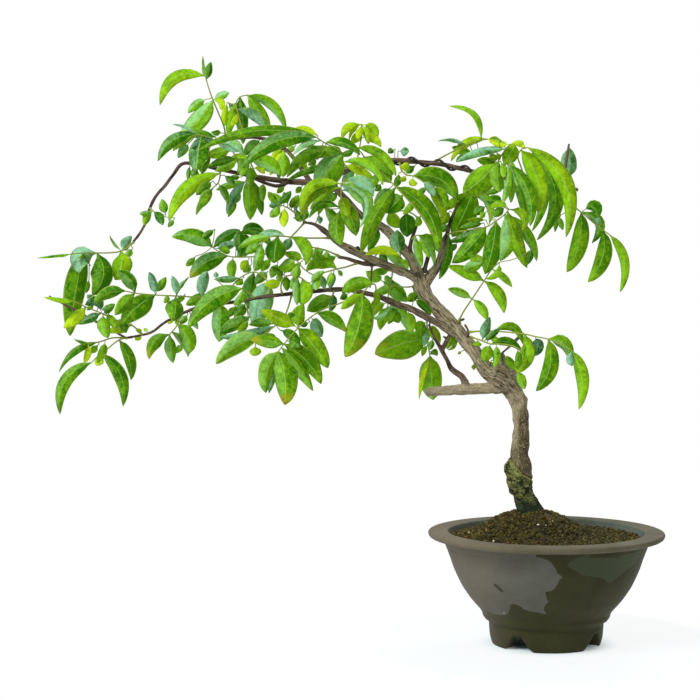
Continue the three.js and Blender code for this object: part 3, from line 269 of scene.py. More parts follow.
# A leaf is its stalk, a run of points (x, height, depth) that starts on the wood, and its blades:
# (stalk point it grows from, tip x, tip height, width, bow, turn in degrees, lean, look).
# Bow is to the left of the way to the tip, turn is about the midrib, and lean is the tip's depth
# less the depth where the blade starts. A blade with no look word has the look "mid".
leaves = {
    "leaf_far_left_1": ([(-412, 413, 0), (-425, 404, -8), (-449, 402, -22), (-462, 402, -32),
        (-475, 401, -40)],
        [(1, -436, 419, 7, 0, 65, 8, "dark"), (1, -414, 419, 11, 0, 20, 14, "bluish"),
        (1, -431, 375, 20, 3, 15, -6, "bright"), (2, -454, 360, 22, 9, -20, -10, "rich"),
        (2, -467, 382, 23, -9.5, 20, -16, "bluish"), (3, -476, 319, 22, -2, -15, 22, "rich"),
        (4, -509, 397, 8, -1, 70, 0)]),
    "leaf_far_left_2": ([(-404, 320, -20), (-413, 329, -30), (-430, 335, -44), (-443, 341, -56),
        (-460, 348, -70), (-472, 354, -80)],
        [(5, -502, 358, 11, -1, 65, -8, "bright"), (4, -482, 327, 13, 0, 20, -12, "lime"),
        (3.1, -461, 350, 12, -7, -25, -12, "deepblue"), (3, -431, 351, 8, 0, 10, 8),
        (3.1, -468, 331, 10, -1, 30, 4, "deepblue"), (3, -438, 317, 13, -1, -20, -6, "bright"),
        (1, -436, 322, 12, -3, 15, -4, "olive")]),
    "leaf_far_left_3": ([(-419, 317, -20), (-434, 317, -28), (-447, 313, -36), (-458, 312, -42)],
        [(3, -472, 316, 7, 0, 60, -6), (2, -487, 283, 9, -8, 40, -14, "rich"),
        (3, -462, 292, 10, 0, 45, 6, "yellow")]),
    "leaf_far_left_4": ([(-414, 318, -20), (-427, 315, -11), (-441, 304, -4), (-449, 298, 2),
        (-455, 292, 6)],
        [(4, -486, 241, 13.5, -13, 15, 10, "rich"), (2.5, -449, 289, 9, 0, 20, -4, "yellow"),
        (2.4, -423, 249, 13, 9.5, -15, 8, "rich"), (1, -415, 275, 12, 4, 20, 8, "rich")]),
    "leaf_far_left_5": ([(-396, 447, -2), (-393, 444, -9)],
        [(1, -383, 430, 9, 1, 20, -6, "dark"), (1, -406, 441, 8, 0, 40, -8),
        (1, -402, 430, 8, -1, -15, -12, "bright")]),
    "leaf_left_1": ([(-330, 351, -24), (-340, 357, -36), (-354, 358, -46), (-370, 359, -58),
        (-391, 360, -72), (-411, 362, -84), (-421, 364, -90)],
        [(6, -452, 352, 12, -4, -15, -8, "dark"), (5, -428, 384, 14, -4, 15, -6, "dark"),
        (5, -431, 340, 13, 0, -20, -8, "rich"), (4, -397, 383, 10, -2, 25, -6, "bluish"),
        (4, -424, 331, 21, -3, 15, -16, "rich"), (3, -374, 379, 8, -1, -20, -10, "bluish"),
        (3, -357, 378, 6, 0, 70, 8, "dark"), (3, -373, 334, 18, 1, -15, -12, "rich"),
        (1.3, -339, 384, 13, 1, 25, -6, "bluish")]),
    "leaf_left_2": ([(-292, 357, -26), (-297, 362, -46), (-304, 367, -64)],
        [(2, -358, 327, 20, -9, 15, -14, "rich"), (2, -312, 350, 10, 2, 30, -16)]),
    "leaf_left_3": ([(-254, 361, -26), (-258, 347, -34), (-262, 338, -42), (-271, 329, -50),
        (-284, 319, -56), (-291, 310, -60)],
        [(2, -249, 337, 8, 1, 30, -6, "dark"), (3, -326, 318, 10, 3, 10, -10, "bluish"),
        (4, -330, 291, 18, -4.5, -20, -14, "bright"), (5, -292, 299, 12, 0, 20, -4, "olive")]),
    "leaf_left_4": ([(-364, 341, -21), (-367, 335, -27), (-370, 328, -31), (-377, 320, -36)],
        [(3, -397, 296, 13, -7, 20, -8, "tipped"), (3, -373, 292, 12, 0, -20, -2),
        (2.6, -358, 298, 11, 3, 35, 10), (1.6, -356, 302, 16, 4, 15, -10)]),
    "leaf_left_upper_1": ([(-326, 485.5, -4), (-326, 479, -14), (-328, 472, -22), (-333, 467, -28)],
        [(0.6, -377, 434, 15, -12, 20, -18, "bright"), (3, -345, 447, 11, -1, -20, -2, "tipped"),
        (3, -350, 440, 10, -3, 45, -14, "rich"), (2, -318, 450, 8, 1, 30, 6)]),
    "leaf_left_upper_2": ([(-296, 479, -1), (-301, 473, 8), (-307, 467, 15), (-312, 460, 20)],
        [(1, -330, 465, 9, -2, 35, 6), (1, -319, 441, 10, -2, -25, -8, "bluish"),
        (3, -318, 438, 9, 0, 30, 4), (2, -314, 452, 11, 1, -10, -10, "deepblue"),
        (0.4, -296, 435, 16, 0, 25, 4, "bright"), (0.3, -284, 440, 11, 3, -25, 8, "rich")]),
    "leaf_left_upper_3": ([(-241, 433, -16), (-250, 441, -22), (-258, 447, -27), (-268, 451, -32)],
        [(3, -278, 463, 8, 0, 20, -6, "bright"), (3, -255, 464, 9, 0, -25, 4, "dark"),
        (3, -276, 438, 9, 1, 20, -8), (2.3, -262, 428, 9, -1, 10, -12, "yellow"),
        (1.6, -247, 460, 10, 2, -30, 8, "rich"), (0.7, -251, 436, 7, 0, 30, -6, "rich"),
        (1.2, -241, 452, 8, 3, 40, 10, "bluish")]),
    "leaf_left_middle_1": ([(-241, 433, -16), (-252, 421, -2), (-266, 408, 10), (-284, 400, 20),
        (-300, 398, 27), (-318, 399, 33), (-328, 404, 37), (-334, 408, 40)],
        [(7, -374, 418, 16, -7, 15, 4, "rich"), (4.3, -307, 425, 12, 0, -20, -6, "dark"),
        (2.4, -309, 421, 10, -11, 30, -4, "dark"), (5, -356, 377, 17, -6, 15, -8, "tipped"),
        (6, -316, 404, 9, 0, 30, -8, "bright"), (4.7, -314, 374, 10, 0, -25, 4),
        (3, -291, 384, 10, 0, 20, 8)]),
    "leaf_left_middle_2": ([(-278, 359, -26), (-277, 368, -12), (-281, 377, 2), (-292, 383, 12),
        (-306, 377, 20), (-320, 361, 27), (-326, 352, 30)],
        [(1.6, -293, 329, 20, -2, 15, 10, "bluish"), (3, -296, 345, 14, -2, -20, 14, "dark"),
        (6, -327, 313, 19, 0, 15, 4), (4, -332, 376, 8, 0, 30, -2, "bluish")]),
    "leaf_middle_low_1": ([(-264, 361, -26), (-265, 369, -38), (-262, 377, -48), (-252, 380, -56),
        (-243, 376, -62)],
        [(1.6, -281, 371, 10, 1, 15, -8, "yellow"), (3, -255, 366, 8, 0, 30, -6),
        (3.4, -249, 350, 9, 0, -25, -12), (4, -245, 350, 17, 2, 15, -4, "light"),
        (1.8, -271, 388, 8, 0, -30, 8)]),
    "leaf_middle_low_2": ([(-212, 365, -25), (-214, 359, -34), (-218, 356, -38)],
        [(1, -239, 344, 16, -1, 15, -2), (0.4, -217, 343, 9, 1, 30, 10, "deepblue")]),
    "leaf_hanging_1": ([(-190, 363.5, -24), (-196, 357, -38), (-205, 352, -50), (-220, 347, -64),
        (-235, 338, -76), (-248, 327, -86), (-262, 311, -96), (-268, 303, -100)],
        [(3.6, -200, 323, 13, 3, 20, 2, "tipped"), (5, -242, 351, 14, 2, 15, 12, "rich"),
        (4, -224, 318, 14, 1, -25, 10, "bluish"), (5, -218, 287, 19, 2, 15, -6, "rich"),
        (5.8, -246, 308, 11, 2, -20, -6, "dark"), (6, -225, 271, 18, 5, 15, 6, "rich"),
        (6.4, -233, 264, 14, 3, -30, -4), (6, -296, 316, 13, -1, 15, 4, "tipped"),
        (7, -261, 250, 25, 3, 15, -4, "tipped"), (7, -280, 262, 17, -5, -15, 10)]),
    "leaf_hanging_2": ([(-172, 360, -22), (-170, 366, -36), (-172, 371, -50), (-178, 368, -62),
        (-184, 361, -72)],
        [(2, -204, 362, 15, -6, 20, -4, "rich"), (4, -201, 298, 25, 5, 15, -8, "tipped"),
        (4, -205, 346, 10, 0, -20, -10, "bright"), (0.8, -172, 342, 8, 1, 30, -4, "olive")]),
    "leaf_middle_1": ([(-153, 387, -8), (-154, 379, 6), (-156, 368, 14), (-158, 358, 16), (-158, 348, 18)],
        [(3.6, -174, 337, 10, -5, 30, -6, "light"), (4, -166, 325, 11, -2, 15, 6, "bright"),
        (4, -147, 332, 12, 1, -20, -6, "rich"), (3, -139, 325, 12, 3, 15, 4, "light"),
        (1, -158, 369, 12, -1, 15, 12, "dark")]),
    "leaf_middle_2": ([(-119, 338, -10), (-119, 330, 6), (-118, 322, 16), (-118, 312, 22), (-117, 304, 26),
        (-116, 299, 28)],
        [(0.6, -124, 318, 14, -4, 15, 14, "rich"), (1.6, -122, 309, 9, -1, 30, -4, "bluish"),
        (1, -106, 311, 11, 2, -15, 8, "olive"), (2.5, -171, 301, 28, -2, 12, -16, "tipped"),
        (5, -127, 256, 9, -3, 50, -6, "lime"), (5, -113, 255, 23, 0, -10, -2, "bright"),
        (4, -109, 299, 8, 1, 20, 10, "rich")]),
    "leaf_middle_3": ([(-128, 371, 1), (-137, 368, 17), (-150, 369, 28), (-164, 374, 36)],
        [(0.7, -115, 343, 12, 2, 15, 14, "rich"), (3, -139, 353, 15, 2, -15, 6),
        (3, -180, 384, 11, 0, 20, 10, "bright"), (2, -175, 358, 10, 0, -30, 8)]),
    "leaf_fork_1": ([(-134, 416, 1), (-131, 419, -8), (-127, 420, -14)],
        [(2, -108, 403, 9, 4, 15, -4, "rich"), (2, -117, 397, 9, 2, -25, -2),
        (1, -124, 388, 9, -1, 15, -6, "light"), (2, -112, 389, 8, 4, 40, -10)]),
    "leaf_fork_2": ([(-152, 387, -8), (-149, 393, -16), (-145, 401, -24)],
        [(2, -149, 425, 15, 1, 10, -6, "deepblue"), (1.8, -181, 400, 10, -6, 20, -16, "yellow"),
        (1.4, -138, 386, 7, 1, 30, -6, "bright")]),
    "leaf_fork_3": ([(-173, 395, -12), (-169, 401, 2), (-162, 405, 8)],
        [(2, -139, 385, 10, 1, 15, 6, "light"), (1.2, -159, 391, 9, 1, -20, 5, "dark")]),
    "leaf_fork_4": ([(-127.5, 436, -2), (-133, 441, 8), (-142, 444, 16), (-152, 444, 20), (-160, 443, 22)],
        [(1.8, -139, 418, 18, 0, 15, -4, "dark"), (4, -147, 427, 14, 1, -15, 2, "lime")]),
    "leaf_apex_1": ([(-320, 515, 22), (-322, 528, 14), (-328, 543, 6), (-333, 555, 0), (-337, 566, -4),
        (-341, 580, -6)],
        [(4.6, -343, 599, 7, 0, 60, 2, "light"), (4.6, -335, 593, 9, 0, 20, -4, "dark"),
        (5, -386, 550, 12.5, -15.5, 15, -8, "bright"), (3, -366, 519, 18, 2, 15, -14, "light"),
        (3, -317, 562, 9, 1, -20, -6, "light"), (3, -324, 545, 9, 3, 30, -12, "yellow")]),
    "leaf_apex_2": ([(-300, 517.5, 25), (-305, 530, 36), (-308, 542, 42), (-310, 551, 46), (-306, 558, 48),
        (-298, 560, 50)],
        [(3, -318, 518, 10, -2, 20, 6, "bright"), (4, -303, 511, 13, 1, -15, 4),
        (2, -315, 529, 8, 0, 30, -4, "yellow"), (5, -260, 524, 10, 9, 15, 8),
        (5, -276, 525, 13, 1.5, -20, -4, "bright"), (2.4, -280, 526, 11, 4, 20, -4, "bluish")]),
    "leaf_apex_3": ([(-308, 482, -3), (-308, 492, -18), (-313, 503, -32), (-323, 511, -44),
        (-336, 517, -52), (-350, 521, -58)],
        [(5, -388, 494, 12, -9, 15, -10, "dark"), (5, -374, 531, 6, -3, 60, -4, "bluish"),
        (5, -373, 504, 9, -2, -25, -4, "bright"), (4.6, -350, 484, 21, -1, 15, -12, "rich"),
        (3.6, -355, 507, 12, -1, -15, -14, "deepblue"), (3, -303, 500, 9, 5, 20, -10, "bluish"),
        (2.2, -341, 499, 12, -1, 20, 6, "tipped"), (1.4, -338, 488, 9, -1, -20, -2, "rich"),
        (1.5, -305, 479, 13, 4, 15, -12)]),
    "leaf_front_1": ([(-209, 479, 11), (-207, 489, -20), (-203, 501, -50), (-211, 507, -60),
        (-221, 512, -68), (-230, 518, -74)],
        [(5, -347, 505, 11, -13, 10, 6, "rich"), (5, -304, 487, 16, -12, 15, -18, "rich"),
        (4.4, -253, 500, 8, -5, 40, -10, "pale"), (4, -186, 500, 10, 6, 15, -6, "rich"),
        (2, -259, 478, 14, -13, 15, -14, "bright"), (2, -229, 466, 27, -2, 10, -6),
        (1, -258, 475, 8, -3, -15, -12, "dark")]),
    "leaf_front_2": ([(-198, 486, 8), (-201, 490, -8), (-203, 493, -18)],
        [(2, -163, 470, 9, 10, 15, -14, "light"), (1, -184, 477, 9, 2, 30, -2, "yellow"),
        (0.7, -172, 475, 9, 3, -20, 4, "yellow")]),
    "leaf_front_3": ([(-289, 478, 0), (-293, 487, -14), (-297, 496, -26)],
        [(2, -265, 480, 15, 4, 15, -2), (1, -281, 482, 9, 1, 35, -10, "yellow"),
        (2, -318, 495, 9, -3, 20, 18)]),
    "leaf_front_4": ([(-253, 497, 21), (-257, 501, 10), (-262, 504, 2)],
        [(2, -276, 480, 10, -1, 20, 4, "yellow"), (2, -263, 478, 12, 1, -15, -8, "bright"),
        (0.6, -240, 482, 9, 1, 30, 4, "olive")]),
    "leaf_front_5": ([(-180, 491, 6), (-183, 500, -14), (-190, 508, -30)],
        [(2, -150, 479, 10, 8, 15, -10, "bright"), (0.8, -153, 480, 12, 3, -15, -4, "bright")]),
    "leaf_young_1": ([(-190, 488, 7), (-188, 500, 14), (-186, 510, 18), (-184, 522, 20), (-184, 531, 20)],
        [(4, -204, 516, 9, -7, 30, -6, "lime"), (4, -197, 515, 8, -5, 50, 8, "lime"),
        (4, -188, 516, 8, -1, 20, -12, "lime"), (4, -178, 511, 9, 3, -20, -4, "lime"),
        (4, -171, 514, 9, 6, 15, 6, "lime"), (3, -195, 511, 9, -1, 15, 10, "lime"),
        (2.6, -165, 508, 9, 4, 20, -2, "lime")]),
    "leaf_arching_1": ([(-211, 415, -16), (-209, 425, -38), (-206, 444, -62), (-205, 460, -78),
        (-205, 472, -86)],
        [(4, -245, 439, 11, -17, 15, 4, "bright"), (3.6, -243, 441, 9, -10, 10, 12, "olive"),
        (4, -186, 428, 10, 18, 15, -8, "light"), (3.4, -182, 438, 9, 12, -15, 8, "bluish"),
        (2.2, -237, 437, 8, -9, 15, -10, "rich"), (2, -204, 410, 16, -5, 10, -6, "rich"),
        (2.6, -190, 419, 17, 3, -10, 12, "rich"), (3.8, -172, 459, 13, 1, 20, 12, "pale")]),
    "leaf_middle_left_1": ([(-217, 417, -17), (-240, 417, -38), (-255, 418, -52), (-268, 419, -64),
        (-276, 418, -70), (-285, 411, -74)],
        [(2, -240, 391, 13, 7, 15, -2), (3, -272, 392, 20, -1, 12, -10, "rich"),
        (4, -308, 407, 10, -3, 20, 6), (5, -292, 384, 11, 0, 25, -4),
        (2.4, -287, 421, 9, -3, 30, 12, "bluish")]),
    "leaf_middle_left_2": ([(-207, 399, -21), (-221, 405, -30), (-235, 408, -38), (-246, 410, -44)],
        [(1.7, -229, 393, 8, 0, 25, -6, "bright"), (1, -219, 397, 7, 1, -20, -6),
        (3, -241, 390, 9, 3, 40, 8, "yellow")]),
    "leaf_middle_left_3": ([(-188, 392, -17), (-200, 388, -28), (-209, 386, -36), (-220, 383, -44),
        (-231, 380, -52), (-242, 386, -60), (-251, 397, -66)],
        [(2, -240, 384, 14, -9, 15, 8, "bright"), (2, -204, 379, 5, 0, 20, -4, "dark"),
        (2.5, -218, 370, 8, 0, 30, -8, "light"), (4, -230, 365, 10, 0, 20, -8, "light"),
        (3.6, -221, 366, 8, 1, -20, 8, "bluish"), (6, -268, 388, 13, 2, 15, 4),
        (5.5, -251, 376, 10, 0, -20, -8)]),
    "leaf_center_1": ([(-171, 493, 6), (-165, 484, -10), (-150, 468, -28), (-138, 455, -38),
        (-125, 440, -46), (-112, 419, -54)],
        [(2, -108, 403, 17, 13, 12, -10, "rich"), (2, -185, 402, 15, -5, 12, -8),
        (2.6, -160, 442, 17, 0, 15, 14, "rich"), (1, -186, 458, 10, 0, 25, -4, "light"),
        (4, -131, 429, 9, 0, 30, 8, "rich")]),
    "leaf_center_2": ([(-147, 494, 4), (-144, 484, -4), (-139, 480, -8), (-133, 479, -11), (-124, 474, -15),
        (-116, 466, -18)],
        [(3, -89, 455, 19, 10, 12, 4, "rich"), (4, -111, 459, 10, 1, 20, -10, "bluish"),
        (5, -101, 446, 12, 5, 45, -6, "dark"), (5, -104, 436, 13, 4, 15, 12, "olive"),
        (1.6, -138, 492, 9, 1, 15, -8, "yellow"), (2, -146, 474, 7, 0, 30, -6, "yellow"),
        (3, -131, 469, 8, -1, -15, -8, "yellow")]),
    "leaf_top_right_1": ([(-114, 492, 2), (-100, 500, 10), (-90, 505, 15), (-80, 510, 20), (-68, 514, 24),
        (-58, 516, 27)],
        [(4.3, -96.5, 549, 8.5, -13.5, 40, 6, "bright"), (3, -108, 514, 7, -4, 55, -4, "bluish"),
        (5, -95, 494, 9, -8, 15, -8, "lime"), (5, -46, 508, 8, 3, 30, 4, "bright")]),
    "leaf_top_right_2": ([(-54, 479, 0), (-50, 489, -10), (-45, 499, -18), (-40, 506, -24),
        (-36, 511, -27)],
        [(3, -90, 493, 9, -4, 15, -6, "bluish"), (3, -46, 516, 9, 0, 50, 2, "bright"),
        (4, -21, 506, 6, 3, 20, -8, "yellow"), (4, -58, 516, 8, 1, 30, 6, "yellow"),
        (2, -57, 499, 8, 1, 15, -8, "olive"), (1.4, -69, 495, 9, 0, 15, -4, "rich")]),
    "leaf_top_right_3": ([(-20, 474, 2), (-25, 488, -22), (-28, 499, -44), (-24, 506, -58),
        (-18, 507.5, -66)],
        [(4, 20, 418, 16, 20, 12, -14, "bright"), (3.6, -31, 510, 7, -4, 30, -6, "yellow"),
        (2.8, -8, 442, 19, 8, 12, -4, "bright")]),
    "leaf_top_right_4": ([(2, 470, 4), (-4, 484, -8), (-10, 496, -18), (-14, 502, -24)],
        [(3, -9, 415, 15, 21, 12, -8, "rich"), (0.5, -14, 424, 9, 4, 20, 20),
        (0.4, 9, 423, 11, 6, -20, 16, "rich"), (0.7, -6, 463, 8, -1, 20, 6, "dark")]),
    "leaf_right_1": ([(16, 468, 5), (23, 456, -2), (30, 447, -10), (35, 443, -15), (49, 431, -28),
        (57, 425, -34), (64, 420, -40)],
        [(3, 21, 383, 17, 5, 12, -10, "rich"), (3, 46, 412, 11, 13, 20, 10),
        (4.2, 53, 438, 8, -1, 30, 8, "bluish"), (5, 42, 373, 16, 7, 15, -8, "rich"),
        (6, 74, 363, 10, 9.5, 15, 4, "bright")]),
    "leaf_right_2": ([(23, 466, 5), (25, 472, 12), (23, 478, 16)],
        [(2, 24, 507, 17, 0, 10, 4, "bluish")]),
    "leaf_right_3": ([(-40, 477, 0), (-38, 483, -20), (-38, 488, -40), (-38, 490, -54), (-36, 490, -62)],
        [(4, -16, 429, 13, 9, 12, -14, "rich"), (3, -44, 451, 9, 2, 30, -8, "light"),
        (1.6, -35, 452, 9, 2, -20, 6, "light"), (2, -22, 423, 11, 6, 20, 10)]),
    "leaf_right_4": ([(-60, 481, 0), (-56, 487, -22), (-50, 492, -38), (-45, 494, -46)],
        [(2, -83, 462, 25, 2, 10, -12), (2.6, -46, 463, 15, -2, -15, -10), (3, -43, 478, 8, 1, 20, -14)]),
    "leaf_right_5": ([(-99, 420, 8), (-91, 423, -6), (-79, 424.5, -18), (-60, 428, -32), (-50, 434, -42),
        (-41, 441, -50), (-37, 446, -54)],
        [(6, -57, 445, 9, -7, 30, 4, "bright"), (6, -24, 424, 10, 9, 20, -8, "olive"),
        (3, -94, 392, 18, 2, 15, 8, "rich"), (3, -98, 413, 10, 1, 20, 22, "dark"),
        (4, -61, 381, 19, 2, 12, -10, "dark"), (5, -46, 394, 17, 7, -10, 2, "light"),
        (5.6, -19, 387, 14, -2, 15, 6, "rich"), (4.8, -9.5, 394, 12, 7, 20, 14),
        (0.2, -107, 376, 10, 3, 20, -10, "rich")]),
    "leaf_right_6": ([(-86, 455, 10), (-79, 461, 5), (-72, 465, 2)],
        [(2, -94, 418, 23, 1, 12, 4, "rich"), (2, -57, 431, 10, 7, 35, 4),
        (2, -60, 451, 13, 3, 15, 14, "rich"), (1.4, -106, 444, 10, 1, -20, 10, "olive")]),
    "leaf_right_low_1": ([(-88, 333, -4), (-82, 344, -14), (-74, 356, -24), (-62, 374, -38),
        (-54, 386, -48), (-46, 393, -54)],
        [(2, -98, 366, 9, -2, 15, -8, "bright"), (2, -59, 335, 10, 3, -15, -6, "bright"),
        (3, -98, 389, 12, -2, 15, -6, "bright"), (3, -42, 342, 11.5, 5, 12, -6, "bright"),
        (4, -34, 368, 7.5, 1, 20, -4, "bright"), (5, -60, 376, 8, 4, 35, -14, "bright"),
        (4, -78, 402, 9, -1, 15, 16, "bright")]),
    "leaf_right_low_2": ([(-77, 323, -6), (-62, 324, -14), (-47, 323.5, -22), (-22, 321, -36),
        (-11, 318.5, -42), (2, 316, -48), (14, 311, -54), (27, 304, -60)],
        [(1.7, -23, 311, 9, 11, 15, 6, "bright"), (3, -22, 285, 13, 4, 20, -6, "bright"),
        (4, -12, 299, 13, 3, -10, 8, "deepblue"), (5, -10, 264, 16, 8, 15, -6, "rich"),
        (5, 24, 294, 13, 8, 12, 8), (7, 26, 289, 9, -1, -20, -8, "bluish"),
        (7, 33, 246, 13, 6.5, 15, -2, "bright")]),
    "leaf_right_low_3": ([(-75, 318, -4), (-66, 315, -18), (-55, 311, -28), (-46, 311, -34),
        (-33, 309, -40), (-21, 302, -46)],
        [(0.8, -70, 309, 9, 0, 15, -6, "bright"), (1.2, -56, 338, 10, 0, 15, -2, "bluish"),
        (1.3, -46, 327, 7, -1, 20, -2, "dark"), (2, -62, 293, 13, -1, 15, -4, "bright"),
        (2, -24, 303, 9, 6, 15, 8, "rich"), (5, -28, 282, 14, 0, 12, -4, "bright"),
        (4.4, -30, 287, 8, 0, 40, -8, "rich"), (2.6, -52, 287, 8, 1, 20, 4, "bright")]),
    "leaf_stub_sprout": ([(-30, 282, -9), (-27, 285, -20)],
        [(1, -21, 266, 10, -1, 15, -4, "bright"), (1, -40, 299, 9, 1, 15, -6, "bright")]),
}

